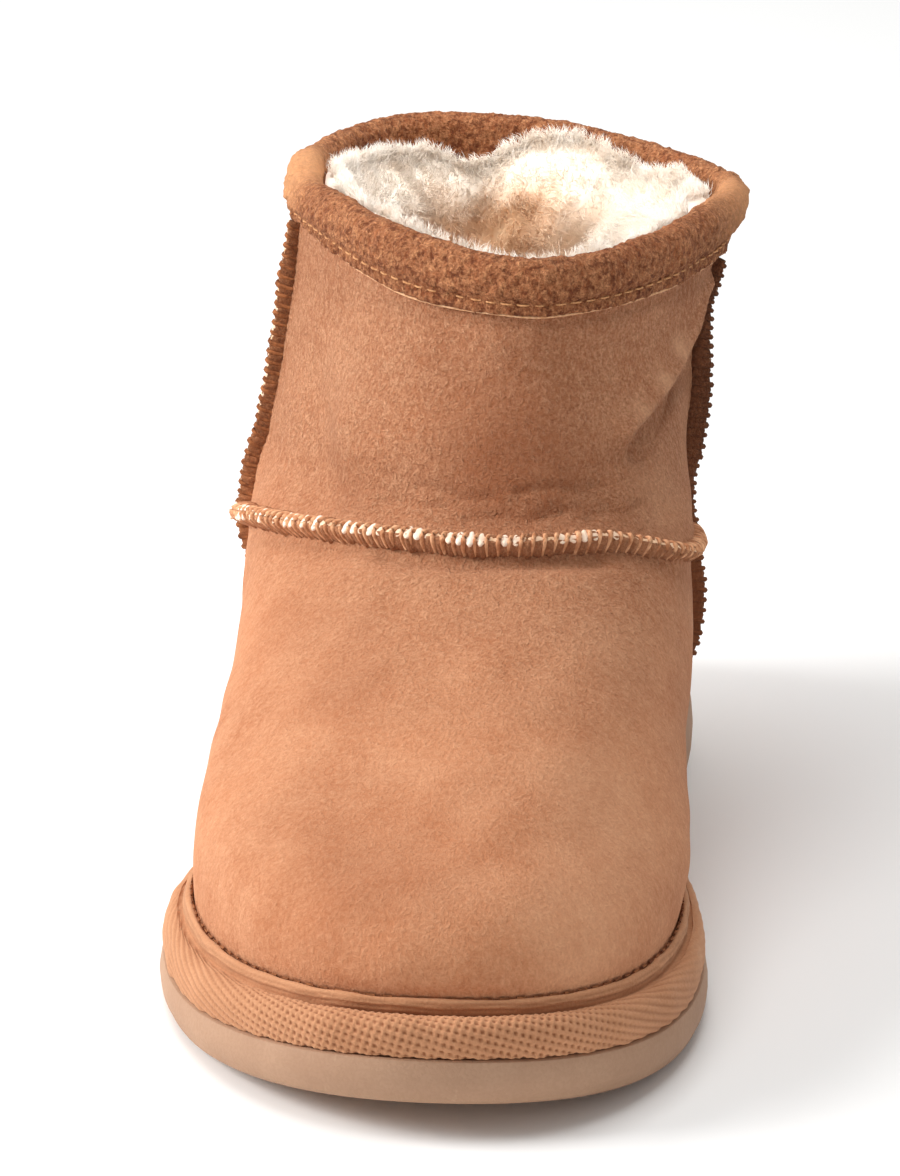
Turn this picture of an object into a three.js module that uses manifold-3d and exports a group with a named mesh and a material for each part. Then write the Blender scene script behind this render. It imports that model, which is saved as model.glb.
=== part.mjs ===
// A low sheepskin boot for the right foot, standing empty on its sole.
// Millimetres, +Z up. The toe points along -Y, and the inner side, the big toe's, is +X.
// Every form follows one skin: closed sections of the foot and shaft, stacked from the welt to the collar.
import * as THREE from "three";
import { mergeVertices } from "three/addons/utils/BufferGeometryUtils.js";
import Module from "manifold-3d";

const wasm = await Module();
wasm.setup();

const { clamp, degToRad, lerp, smoothstep } = THREE.MathUtils;
const UP = new THREE.Vector3(0, 0, 1);

// The foot
const LENGTH = 264; // toe to heel, over the sole
const BALL_WIDTH = 110; // over the sole
const WAIST_WIDTH = 87; // over the sole, under the arch
const TOE_LEAN = 5.5; // how far the toe tip lies towards the big toe
const BALL_SKEW = 0.07; // how much further back the ball is on the outer side, as a share of the length
const INSTEP_HEIGHT = 78; // floor to the instep seam, at the front

// The shaft
const COLLAR_HEIGHT = 136.5; // floor to the top of the binding
const SHAFT_LENGTH = 120; // front to back at the collar
const SHAFT_WIDTH = 89; // side to side at the instep
const SHAFT_SETBACK = 7.5; // heel of the sole to the back of the collar
const COLLAR_TWIST = 16; // degrees that the soft collar is turned towards the other boot
const COLLAR_FLARE = 7; // how far the collar leans out on the inner side
const COLLAR_DIP = 3.5; // how far its edge sags behind that
const COLLAR_PEAK = 2.6; // how far its edge stands up at the outer front

// The sole
const FOREFOOT_THICKNESS = 9.4;
const HEEL_THICKNESS = 16;
const TOE_SPRING = 7.6; // lift of the sole's toe tip off the floor
const ARCH_RISE = 1.6; // lift of the sole's waist off the floor
const SOLE_EDGE_ROUND = 2.2; // rounding where the side meets the tread
const SOLE_BULGE = 0.9; // how far the side swells between its edges
const LUG_PITCH = 13;
const GROOVE_WIDTH = 4;
const GROOVE_DEPTH = 2.5;
const TREAD_RIM = 9; // uncut border round the tread

// The taped welt, its lip and the footbed
const WELT_HEIGHT = 7.8;
const WELT_REACH_TOE = 8.8; // how far the welt stands out past the upper
const WELT_REACH_SIDE = 5.6;
const WELT_REACH_HEEL = 5;
const WELT_EDGE_ROUND = 3.2;
const LIP_HEIGHT = 3;
const LIP_THICKNESS = 1.3;
const INSOLE_RISE = 5; // footbed above the welt
const INSOLE_CROWN = 1.6;

// The sheepskin and what is sewn on it
const GAP = 0.3; // between pieces that meet
const WALL = 2.2; // the leather
const PILE = 7.5; // the wool, lightly pressed
const BINDING_THICKNESS = 1.7;
const BINDING_OUTSIDE = 9.6; // depth of the strip down the outside of the collar
const BINDING_NARROWING = 4.2; // how much less that is at the outer side
const BINDING_INSIDE = 15; // and down the inside
const BINDING_ROLL = 3; // height of the roll above the leather's edge
const SIDE_SEAM_HEIGHT = 2.3; // how far the raised seams stand off the skin
const INSTEP_SEAM_HEIGHT = 3.7;
const INSTEP_SEAM_LEAN = 2; // how far its top leans towards the toe
const SEAM_THICKNESS = 3.2;
const SEAM_ROUND = 1.1;
const BED = 0.7; // gap under what is sewn on, which bridges the skin's curve
const INSTEP_SEAM_DROP = 17.5; // from the front of the instep to the seam's ends
const INSTEP_SEAM_SAG = 3; // how much lower it runs at the front of the inner side

// The wool's locks
const LOCK_RADIUS = 7.2;
const LOCK_COUNT = 24;
const LOCK_LENGTH = 1.5; // length over width

// The mesh
const AROUND = 48; // points in a section, a multiple of four
const EVENNESS = 0.35; // how far those points are drawn from the ends to the long sides
const SIDE_SEAM_STEPS = 12;
const INSTEP_SEAM_STEPS = 26;

// Derived lengths that several pieces share
const TOE_END = -LENGTH / 2;
const HEEL_END = LENGTH / 2;
const SHAFT_BACK = HEEL_END - SHAFT_SETBACK;
const SHAFT_FRONT = SHAFT_BACK - SHAFT_LENGTH;
const LEATHER_TOP = COLLAR_HEIGHT - BINDING_ROLL - COLLAR_PEAK; // the leather's own edge, inside the roll
const LINED = WALL + GAP + PILE; // the skin's outside to the wool's inside
const TOP = 1.46; // the collar's level, on a scale with the welt at 0 and the instep seam at 1

// Sections of the skin from the welt up. Levels: 0 is the welt and 1 the instep seam.
// toe: the section's front end, 0 at the shaft's front and 1 at the foot's toe.
// heel: mm that its back end stands behind the line from the welt's heel to the collar's back.
// outer, inner: half-widths, as shares of the foot's or the shaft's; shaft: which, 0 foot to 1 shaft.
// wide: the widest place, as a share of the section's length from its back end.
// nose, seat: how square the front and the back are, 2 for an ellipse.
// waist: share of the sole's waist that shows; lean: share of the toe's lean.
const SECTIONS = [
  { level: 0.0, toe: 1.0, heel: 0.0, outer: 1.0, inner: 1.0, shaft: 0, wide: 0.75, nose: 2.1, seat: 2.6, waist: 1.0, lean: 1 },
  { level: 0.12, toe: 1.012, heel: 1.4, outer: 1.01, inner: 1.03, shaft: 0, wide: 0.735, nose: 2.12, seat: 2.6, waist: 0.8, lean: 1 },
  { level: 0.26, toe: 0.985, heel: 1.6, outer: 1.03, inner: 1.045, shaft: 0, wide: 0.7, nose: 2.15, seat: 2.5, waist: 0.5, lean: 0.9 },
  { level: 0.38, toe: 0.92, heel: 0.8, outer: 1.035, inner: 1.035, shaft: 0.15, wide: 0.65, nose: 2.15, seat: 2.45, waist: 0.3, lean: 0.7 },
  { level: 0.5, toe: 0.78, heel: -0.6, outer: 1.045, inner: 1.03, shaft: 0.4, wide: 0.58, nose: 2.15, seat: 2.4, waist: 0.14, lean: 0.4 },
  { level: 0.64, toe: 0.6, heel: -2.0, outer: 1.045, inner: 1.01, shaft: 0.65, wide: 0.52, nose: 2.12, seat: 2.3, waist: 0.04, lean: 0.2 },
  { level: 0.8, toe: 0.4, heel: -2.8, outer: 1.015, inner: 0.985, shaft: 0.85, wide: 0.49, nose: 2.1, seat: 2.2, waist: 0, lean: 0.1 },
  { level: 0.93, toe: 0.235, heel: -2.8, outer: 1.0, inner: 0.97, shaft: 1, wide: 0.48, nose: 2.1, seat: 2.15, waist: 0, lean: 0 },
  { level: 1.07, toe: 0.1, heel: -2.2, outer: 0.965, inner: 0.965, shaft: 1, wide: 0.475, nose: 2.05, seat: 2.1, waist: 0, lean: 0 },
  { level: 1.24, toe: 0.03, heel: -1.0, outer: 0.92, inner: 0.98, shaft: 1, wide: 0.46, nose: 1.9, seat: 2.1, waist: 0, lean: 0 },
  { level: TOP, toe: 0.0, heel: 0.0, outer: 0.86, inner: 1.1, shaft: 1, wide: 0.46, nose: 1.8, seat: 2.05, waist: 0, lean: 0 },
];

// Every column of a table at one value of its key, on a smooth curve through the rows.
function rowAt(rows, key, value) {
  const last = rows.length - 2;
  let i = 0;
  while (i < last && value > rows[i + 1][key]) i++;
  const [before, from, to, after] = [rows[Math.max(i - 1, 0)], rows[i], rows[i + 1], rows[Math.min(i + 2, last + 1)]];
  const span = to[key] - from[key];
  const t = clamp((value - from[key]) / span, 0, 1);
  const row = {};
  for (const column of Object.keys(from)) {
    const rise = (to[column] - before[column]) / (to[key] - before[key]);
    const fall = (after[column] - from[column]) / (after[key] - from[key]);
    row[column] =
      (2 * t ** 3 - 3 * t ** 2 + 1) * from[column] +
      (t ** 3 - 2 * t ** 2 + t) * span * rise +
      (3 * t ** 2 - 2 * t ** 3) * to[column] +
      (t ** 3 - t ** 2) * span * fall;
  }
  return row;
}

// A smooth hump, 1 at its centre and 0 from its reach on.
const hump = (distance, reach) => (Math.abs(distance) < reach ? Math.cos((distance / reach) * Math.PI * 0.5) ** 2 : 0);

// Heights of the sole along the foot
const SPRING_START = lerp(HEEL_END, TOE_END, 0.76);
const ARCH_CENTRE = lerp(HEEL_END, TOE_END, 0.46);
const ARCH_SPAN = LENGTH * 0.15;
const LIFT_START = lerp(HEEL_END, TOE_END, 0.6);
const LIFT_END = lerp(HEEL_END, TOE_END, 0.26);
const spring = (y) => TOE_SPRING * clamp((SPRING_START - y) / (SPRING_START - TOE_END), 0, 1) ** 2;
const treadHeight = (y) => spring(y) + ARCH_RISE * hump(y - ARCH_CENTRE, ARCH_SPAN);
const outsoleTop = (y) => spring(y) + lerp(FOREFOOT_THICKNESS, HEEL_THICKNESS, smoothstep(y, LIFT_START, LIFT_END));
const weltBottom = (y) => outsoleTop(y) + GAP;
const weltTop = (y) => weltBottom(y) + WELT_HEIGHT;

// A closed plan outline. turn runs 0 at the toe, 0.25 on the outer side, 0.5 at the heel, 0.75 on the inner side.
function planPoint(plan, turn) {
  const half = turn <= 0.5 ? turn * 2 : (1 - turn) * 2; // 0 at the toe to 1 at the heel, on either side
  const outerSide = turn <= 0.5;
  const front = half <= 0.5;
  const share = front ? half * 2 : (1 - half) * 2;
  const angle = share * (1 + EVENNESS * (1 - share)) * Math.PI * 0.5;
  const power = 2 / (front ? plan.nose : plan.seat);
  const widest = lerp(plan.back, plan.front, plan.wide - (outerSide ? plan.skew : 0));
  const reach = (front ? plan.front : plan.back) - widest;
  const along = reach * Math.max(Math.cos(angle), 0) ** power;
  const y = widest + along;
  const width = (outerSide ? plan.outer : plan.inner) * Math.sin(angle) ** power;
  const waist = 1 - plan.waist * hump(y - ARCH_CENTRE, LENGTH * 0.3);
  const lean = front ? plan.lean * (along / reach) ** 2 : 0;
  const point = new THREE.Vector3((outerSide ? -1 : 1) * width * waist + lean, y, 0);
  const middle = new THREE.Vector3(0, (plan.front + plan.back) / 2, 0);
  return point.sub(middle).applyAxisAngle(UP, degToRad(plan.twist)).add(middle);
}

const SOLE_WAIST = 1 - WAIST_WIDTH / BALL_WIDTH;
const SOLE_PLAN = {
  front: TOE_END,
  back: HEEL_END,
  outer: BALL_WIDTH / 2,
  inner: BALL_WIDTH / 2,
  wide: SECTIONS[0].wide,
  nose: SECTIONS[0].nose,
  seat: SECTIONS[0].seat,
  waist: SOLE_WAIST,
  lean: TOE_LEAN,
  skew: BALL_SKEW,
  twist: 0,
};

// A sole outline drawn in by the same distance all round.
const drawnIn = (plan, by) => ({
  ...plan,
  front: plan.front + by,
  back: plan.back - by,
  outer: plan.outer - by,
  inner: plan.inner - by,
});

const FOOT_FRONT = TOE_END + WELT_REACH_TOE;
const FOOT_BACK = HEEL_END - WELT_REACH_HEEL;
const FOOT_HALF = BALL_WIDTH / 2 - WELT_REACH_SIDE;

// The outline of the skin at a level.
function skinPlan(level) {
  const row = rowAt(SECTIONS, "level", level);
  const share = clamp(level / TOP, 0, 1);
  const half = lerp(FOOT_HALF, SHAFT_WIDTH / 2, row.shaft);
  return {
    front: lerp(SHAFT_FRONT, FOOT_FRONT, row.toe),
    back: lerp(FOOT_BACK, SHAFT_BACK, share) + row.heel,
    outer: half * row.outer,
    inner: half * row.inner,
    wide: row.wide,
    nose: row.nose,
    seat: row.seat,
    waist: SOLE_WAIST * row.waist,
    lean: TOE_LEAN * row.lean,
    skew: BALL_SKEW * (1 - row.shaft),
    twist: COLLAR_TWIST * row.shaft ** 2,
  };
}

// The height of the leather's edge, which is highest at the outer front and sags behind the flare.
function leatherEdge(turn) {
  const around = turn - Math.floor(turn);
  return LEATHER_TOP + COLLAR_PEAK * hump(around - 0.15, 0.15) - COLLAR_DIP * hump(around - 0.68, 0.2);
}

// The height of a level at a place along the foot.
function levelHeight(level, y, turn) {
  if (level <= 1) return lerp(weltTop(y) + GAP, INSTEP_HEIGHT, level);
  return lerp(INSTEP_HEIGHT, leatherEdge(turn), (level - 1) / (TOP - 1));
}

// The level that lies a depth below the leather's edge.
const levelBelow = (depth) => TOP - (depth / (LEATHER_TOP - INSTEP_HEIGHT)) * (TOP - 1);

// The skin's outside. The collar leans out a little on its inner side, towards the other boot.
function onSkin(turn, level) {
  const around = turn - Math.floor(turn);
  const point = planPoint(skinPlan(level), around);
  point.z = levelHeight(level, point.y, turn);
  const flare = smoothstep(level, 1.25, TOP) * hump(around - 0.72, 0.2);
  point.x += COLLAR_FLARE * flare;
  return point;
}

// The way out of the skin at a point of it.
function outward(turn, level) {
  const [stepRound, stepUp] = [0.002, 0.01];
  const round = onSkin(turn + stepRound, level).sub(onSkin(turn - stepRound, level));
  const up = onSkin(turn, Math.min(level + stepUp, TOP)).sub(onSkin(turn, Math.max(level - stepUp, 0)));
  return up.cross(round).normalize();
}

// A point a distance off the skin. It stays at its height in the two end sections, and on request.
function offSkin(turn, level, distance, { sameHeight = level <= 0 || level >= TOP } = {}) {
  const out = outward(turn, level);
  if (sameHeight) out.setZ(0).divideScalar(out.lengthSq());
  return onSkin(turn, level).addScaledVector(out, distance);
}

// A point off the skin near the collar: a depth below the leather's edge, or above it where negative.
function offCollar(turn, depth, distance) {
  const point = offSkin(turn, levelBelow(Math.max(depth, 0)), distance, { sameHeight: true });
  point.z = leatherEdge(turn) - depth;
  return point;
}

const turns = (count) => Array.from({ length: count }, (_, i) => i / count);
const ring = (pointAt, count = AROUND) => turns(count).map(pointAt);

// A mesh on the points of some rings.
function meshOf(rings, index) {
  const geometry = new THREE.BufferGeometry();
  geometry.setAttribute("position", new THREE.Float32BufferAttribute(rings.flat().flatMap((p) => p.toArray()), 3));
  geometry.setIndex(index);
  return geometry;
}

// The bands between rings of equal length, each four points split along their shorter diagonal.
function bands(rings, closed) {
  const count = rings[0].length;
  const index = [];
  for (let i = 0; i < (closed ? rings.length : rings.length - 1); i++) {
    const [here, next] = [i, (i + 1) % rings.length];
    for (let k = 0; k < count; k++) {
      const after = (k + 1) % count;
      const [a, b, c, d] = [here * count + k, here * count + after, next * count + after, next * count + k];
      const rising = rings[here][k].distanceTo(rings[next][after]) <= rings[here][after].distanceTo(rings[next][k]);
      index.push(...(rising ? [a, c, b, a, d, c] : [a, d, b, b, d, c]));
    }
  }
  return index;
}

// Level rings joined in a loop: up the outside and down the inside of a wall.
const wallOf = (rings) => meshOf(rings, bands(rings, true));

// Level rings from the bottom up, closed below and above by strips from side to side.
function plateOf(rings) {
  const count = rings[0].length;
  const top = (rings.length - 1) * count;
  const index = bands(rings, false);
  for (let k = 0; k < count / 2; k++) {
    const [near, far] = [(count - k) % count, count - k - 1];
    index.push(k, k + 1, far, k, far, near);
    index.push(top + k, top + far, top + k + 1, top + k, top + near, top + far);
  }
  return meshOf(rings, index);
}

// Small rings along a path, closed at both ends by fans from their first point.
function barOf(rings) {
  const count = rings[0].length;
  const last = (rings.length - 1) * count;
  const index = bands(rings, false);
  for (let k = 1; k < count - 1; k++) {
    index.push(0, k, k + 1);
    index.push(last, last + k + 1, last + k);
  }
  return meshOf(rings, index);
}

// A closed geometry as a solid for joining and cutting, and back.
function toSolid(geometry) {
  const bare = geometry.clone();
  bare.deleteAttribute("normal");
  bare.deleteAttribute("uv");
  const merged = mergeVertices(bare, 1e-3);
  const vertProperties = merged.getAttribute("position").array;
  return new wasm.Manifold(new wasm.Mesh({ numProp: 3, vertProperties, triVerts: new Uint32Array(merged.index.array) }));
}

function toGeometry(solid) {
  const { vertProperties, triVerts, numProp } = solid.getMesh();
  const geometry = new THREE.BufferGeometry();
  const positions = new THREE.InterleavedBuffer(vertProperties, numProp);
  geometry.setAttribute("position", new THREE.InterleavedBufferAttribute(positions, 3, 0));
  geometry.setIndex(new THREE.BufferAttribute(triVerts, 1));
  return geometry.toNonIndexed();
}

// Outsole: a plate with a swelling side, a rounded lower edge and cross lugs
function outsole() {
  const level = (share, inward, lift) => (turn) => {
    const point = planPoint(drawnIn(SOLE_PLAN, inward), turn);
    point.z = lerp(treadHeight(point.y), outsoleTop(point.y), share) + lift;
    return point;
  };
  const body = plateOf([
    ring(level(0, SOLE_EDGE_ROUND, 0)),
    ring(level(0, SOLE_EDGE_ROUND * 0.3, SOLE_EDGE_ROUND * 0.3)),
    ring(level(0, 0, SOLE_EDGE_ROUND)),
    ring(level(0.6, -SOLE_BULGE, 0)),
    ring(level(1, 0, 0)),
  ]);
  return toGeometry(grooves().reduce((cut, groove) => cut.subtract(groove), toSolid(body)));
}

// The cross grooves that part the lugs, in the forefoot and in the heel
function grooves() {
  const fields = [
    { from: 0.16, to: 0.44 }, // shares of the length from the toe
    { from: 0.74, to: 0.93 },
  ];
  const cuts = [];
  for (const field of fields) {
    const [start, end] = [lerp(TOE_END, HEEL_END, field.from), lerp(TOE_END, HEEL_END, field.to)];
    const count = Math.floor((end - start) / LUG_PITCH);
    for (let i = 0; i <= count; i++) {
      const y = start + i * LUG_PITCH;
      cuts.push(grooveAt(y));
    }
  }
  return cuts;
}

function grooveAt(y) {
  const sides = [turnAtSole(y, "outer"), turnAtSole(y, "inner")];
  const [outerX, innerX] = sides.map((turn) => planPoint(SOLE_PLAN, turn).x);
  const width = innerX - outerX - 2 * TREAD_RIM;
  const groove = new THREE.BoxGeometry(width, GROOVE_WIDTH, 2 * GROOVE_DEPTH);
  groove.translate((innerX + outerX) / 2, y, treadHeight(y));
  return toSolid(groove);
}

// Where an outline reaches a place along the foot, on one side.
function turnAt(pointAt, y, side) {
  let [low, high] = [0, 0.5];
  for (let i = 0; i < 24; i++) {
    const middle = (low + high) / 2;
    if (pointAt(side === "outer" ? middle : 1 - middle).y < y) low = middle;
    else high = middle;
  }
  return side === "outer" ? low : 1 - low;
}
const turnAtSole = (y, side) => turnAt((turn) => planPoint(SOLE_PLAN, turn), y, side);
const turnAtSkin = (y, level, side) => turnAt((turn) => onSkin(turn, level), y, side);

// Welt: the taped rand, a closed ring that the upper and its wool stand on, with a lip up the upper's side
function welt() {
  // across: 0 at the upper's outside to 1 at the sole's edge; off: mm off the upper's skin; up: mm off the sole
  const at = ({ across = 0, level = 0, off = 0, up }) => (turn) => {
    const foot = offSkin(turn, level, off);
    const edge = planPoint(SOLE_PLAN, turn);
    const point = foot.lerp(edge, across);
    point.z = weltBottom(point.y) + up;
    return point;
  };
  const round = WELT_EDGE_ROUND;
  const lip = GAP + LIP_THICKNESS;
  const level = (LIP_HEIGHT - GAP) / (INSTEP_HEIGHT - weltTop(0)); // the lip's top edge
  return wallOf([
    ring(at({ off: -LINED, up: 0 })),
    ring(at({ across: 0.96, up: 0 })),
    ring(at({ across: 1, up: round * 0.35 })),
    ring(at({ across: 1.02, up: WELT_HEIGHT - round * 1.3 })),
    ring(at({ across: 0.9, up: WELT_HEIGHT - round * 0.45 })),
    ring(at({ across: 0.66, up: WELT_HEIGHT })),
    ring(at({ off: lip + 0.6, up: WELT_HEIGHT - 0.5 })),
    ring(at({ level, off: lip, up: WELT_HEIGHT + LIP_HEIGHT - 0.5 })),
    ring(at({ level, off: GAP, up: WELT_HEIGHT + LIP_HEIGHT })),
    ring(at({ off: GAP, up: WELT_HEIGHT })),
    ring(at({ off: -LINED, up: WELT_HEIGHT })),
  ]);
}

// Insole: the footbed, inside the welt and the wool, with a crowned top
function insole() {
  const at = (inward, lift, fromTop) => (turn) => {
    const point = offSkin(turn, 0, -LINED - GAP - inward);
    point.z = (fromTop ? weltTop(point.y) + INSOLE_RISE : outsoleTop(point.y) + GAP) + lift;
    return point;
  };
  return plateOf([
    ring(at(0, 0, false)),
    ring(at(0, -INSOLE_CROWN * 2, true)),
    ring(at(1.2, -INSOLE_CROWN, true)),
    ring(at(7, 0, true)),
  ]);
}

// Upper: the leather, one wall from the welt to the collar
const WALL_LEVELS = [0, 0.08, 0.18, 0.29, 0.4, 0.51, 0.62, 0.74, 0.86, 0.94, 1, 1.06, 1.14, 1.24];
const STRIP_FOOT = BINDING_INSIDE + GAP; // depth where the wool takes over from the binding's inner strip
const COLLAR_MIDDLE = 5; // depth of one more section, half way down the binding
function upper() {
  const wall = (distance) => [
    ...WALL_LEVELS.map((level) => ring((turn) => offSkin(turn, level, distance))),
    ...[STRIP_FOOT, COLLAR_MIDDLE, 0].map((depth) => ring((turn) => offCollar(turn, depth, distance))),
  ];
  return wallOf([...wall(0), ...wall(-WALL).reverse()]);
}

// Fleece: the wool inside the leather, rising in front of the binding's inner strip in a ragged edge of locks
const FLEECE_LEVELS = [0, 0.18, 0.37, 0.56, 0.79, 1];
const STRIP_FACE = WALL + GAP + BINDING_THICKNESS + 2 * GAP; // the skin's outside to the wool in front of the strip
const pileTop = (turn) => 6 + 3 * Math.sin(turn * 18.8 + 1) + 1.6 * Math.sin(turn * 44 + 2.2); // depth below the edge

function fleece() {
  const back = WALL + GAP;
  const clump = (turn, level) => 0.9 * Math.sin(turn * 75 + level * 9) * Math.sin(level * 21 + turn * 12);
  const outside = WALL_LEVELS.map((level) => ring((turn) => offSkin(turn, level, -back)));
  const inside = FLEECE_LEVELS.map((level) =>
    ring((turn) => offSkin(turn, level, -back - PILE + (level > 0 ? clump(turn, level) : 0))),
  );
  const collar = [
    ring((turn) => offCollar(turn, STRIP_FOOT, -back)),
    ring((turn) => offCollar(turn, STRIP_FOOT, -STRIP_FACE)),
    ring((turn) => offCollar(turn, pileTop(turn), -STRIP_FACE)),
    ring((turn) => offCollar(turn, pileTop(turn) + 1, -STRIP_FACE - 4)),
    ring((turn) => offCollar(turn, pileTop(turn) + 7, -back - PILE - 1.5)),
  ];
  const shell = toSolid(wallOf([...outside, ...collar, ...inside.reverse()]));
  return toGeometry(locks().reduce((wool, lock) => wool.add(lock), shell));
}

// Locks round the mouth: drops that lean up and in, in two staggered rows
function locks() {
  return turns(LOCK_COUNT).map((turn, i) => {
    const size = LOCK_RADIUS * (0.82 + 0.3 * Math.sin(i * 2.4) ** 2);
    const depth = pileTop(turn) + size * (i % 2 ? 1.9 : 0.75);
    const centre = offCollar(turn, depth, -STRIP_FACE - size * 0.92);
    const lock = new THREE.SphereGeometry(size, 6, 5);
    lock.scale(0.86, 0.86, i % 2 ? 1 : LOCK_LENGTH * 0.8);
    lock.rotateY(0.35 * Math.sin(i * 1.7));
    lock.translate(centre.x, centre.y, centre.z);
    return toSolid(lock);
  });
}

// Collar binding: a strip folded over the leather's edge in a soft roll, narrower at the outer side
function bindingFoot(turn) {
  const around = turn - Math.floor(turn);
  return BINDING_OUTSIDE - BINDING_NARROWING * hump(around - 0.28, 0.2);
}

function collarBinding() {
  const [near, far] = [GAP, GAP + BINDING_THICKNESS];
  const profile = [
    { foot: true, off: near },
    { foot: true, off: far - 0.3 },
    { depth: COLLAR_MIDDLE, off: far + 0.5 },
    { depth: 0, off: far },
    { depth: -BINDING_ROLL * 0.75, off: far - 1.6 },
    { depth: -BINDING_ROLL, off: -WALL / 2 },
    { depth: -BINDING_ROLL * 0.75, off: -WALL - far + 1.6 },
    { depth: 0, off: -WALL - far },
    { depth: COLLAR_MIDDLE, off: -WALL - far },
    { depth: BINDING_INSIDE, off: -WALL - far },
    { depth: BINDING_INSIDE, off: -WALL - near },
    { depth: COLLAR_MIDDLE, off: -WALL - near },
    { depth: -GAP, off: -WALL - near },
    { depth: -GAP, off: near },
    { depth: COLLAR_MIDDLE, off: near },
  ];
  const edge = (row) => ring((turn) => offCollar(turn, row.foot ? bindingFoot(turn) : row.depth, row.off));
  return wallOf(profile.map(edge));
}

// A raised seam: two cut edges sewn together, standing off the skin along a path of turns and levels
function seam(path, steps, height, lean = 0) {
  const half = SEAM_THICKNESS / 2;
  const [low, high] = [BED, BED + height];
  const profile = [
    { across: 0, off: low },
    { across: half, off: low },
    { across: half, off: high - SEAM_ROUND },
    { across: half - SEAM_ROUND, off: high },
    { across: -half + SEAM_ROUND, off: high },
    { across: -half, off: high - SEAM_ROUND },
    { across: -half, off: low },
  ];
  const pointAt = (share, distance) => offSkin(path(share).turn, path(share).level, distance);
  const sections = Array.from({ length: steps + 1 }, (_, i) => {
    const share = i / steps;
    const foot = pointAt(share, 0);
    const out = pointAt(share, 1).sub(foot);
    const ahead = pointAt(Math.min(share + 0.01, 1), 0).sub(pointAt(Math.max(share - 0.01, 0), 0)).normalize();
    const across = ahead.cross(out).normalize();
    const placed = ({ across: side, off }) => {
      const leant = side + (lean * (off - low)) / height;
      return foot.clone().addScaledVector(out, off).addScaledVector(across, leant);
    };
    return profile.map(placed);
  });
  return barOf(sections);
}

// The side seams' place along the foot: the middle of the shaft, a little further back at the sole
const SIDE_SEAM_TOP = lerp(SHAFT_BACK, SHAFT_FRONT, 0.53);
const SIDE_SEAM_SOLE = lerp(SHAFT_BACK, SHAFT_FRONT, 0.6);
const LIP_LEVEL = (LIP_HEIGHT + 2 * GAP) / (INSTEP_HEIGHT - weltTop(SIDE_SEAM_SOLE));
const sideSeamPlace = (level) => lerp(SIDE_SEAM_SOLE, SIDE_SEAM_TOP, level / TOP);

const sideSeamPath = (side) => {
  const top = levelBelow(bindingFoot(turnAtSkin(SIDE_SEAM_TOP, TOP, side)) + 2.5 * GAP);
  return (share) => {
    const level = lerp(LIP_LEVEL, top, share);
    return { turn: turnAtSkin(sideSeamPlace(level), level, side), level };
  };
};

// The instep seam runs over the instep from one side seam to the other, lowest at its ends,
// and sags a little on the inner side.
const SEAM_END_LEVEL = 1 - INSTEP_SEAM_DROP / (INSTEP_HEIGHT - weltTop(SIDE_SEAM_SOLE));
function instepSeamPath(share) {
  const y = sideSeamPlace(SEAM_END_LEVEL) - SEAM_THICKNESS / 2 - 5 * GAP;
  const ends = [turnAtSkin(y, SEAM_END_LEVEL, "outer"), turnAtSkin(y, SEAM_END_LEVEL, "inner") - 1];
  const sag = (INSTEP_SEAM_SAG / INSTEP_SEAM_DROP) * hump(share - 0.66, 0.14);
  const level = lerp(SEAM_END_LEVEL, 1, Math.sin(share * Math.PI) ** 0.8 - sag);
  return { turn: lerp(ends[0], ends[1], share), level };
}

const MATERIALS = {
  suede: { color: 0xc98a62, roughness: 0.95, metalness: 0 },
  binding: { color: 0xa3673f, roughness: 0.97, metalness: 0 },
  seam: { color: 0xb07a50, roughness: 0.95, metalness: 0 },
  wool: { color: 0xf6e6d4, roughness: 1, metalness: 0 },
  tape: { color: 0xd79a66, roughness: 0.9, metalness: 0 },
  foam: { color: 0xc9a07c, roughness: 0.8, metalness: 0 },
};

const boot = new THREE.Group();
function addPiece(name, geometry, finish) {
  geometry.computeVertexNormals();
  const piece = new THREE.Mesh(geometry, new THREE.MeshStandardMaterial(MATERIALS[finish]));
  piece.name = name;
  boot.add(piece);
}

addPiece("outsole", outsole(), "foam");
addPiece("welt", welt(), "tape");
addPiece("insole", insole(), "wool");
addPiece("upper", upper(), "suede");
addPiece("fleece", fleece(), "wool");
addPiece("collar_binding", collarBinding(), "binding");
addPiece("seam_outer", seam(sideSeamPath("outer"), SIDE_SEAM_STEPS, SIDE_SEAM_HEIGHT), "seam");
addPiece("seam_inner", seam(sideSeamPath("inner"), SIDE_SEAM_STEPS, SIDE_SEAM_HEIGHT), "seam");
addPiece("seam_instep", seam(instepSeamPath, INSTEP_SEAM_STEPS, INSTEP_SEAM_HEIGHT, INSTEP_SEAM_LEAN), "seam");

// The origin is under the middle of the boot's own box.
const box = new THREE.Box3().setFromObject(boot);
const middle = box.getCenter(new THREE.Vector3());
boot.position.set(-middle.x, -middle.y, 0);

export default boot;
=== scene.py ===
"""Looks of a low sheepskin boot for the right foot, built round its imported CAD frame.

Sizes are millimetres, as in the CAD, and are divided by a thousand where a mesh or light is made.
The skin's functions are the CAD's own, so what is built here lies on the same forms, more finely.
"""

import math

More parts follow.
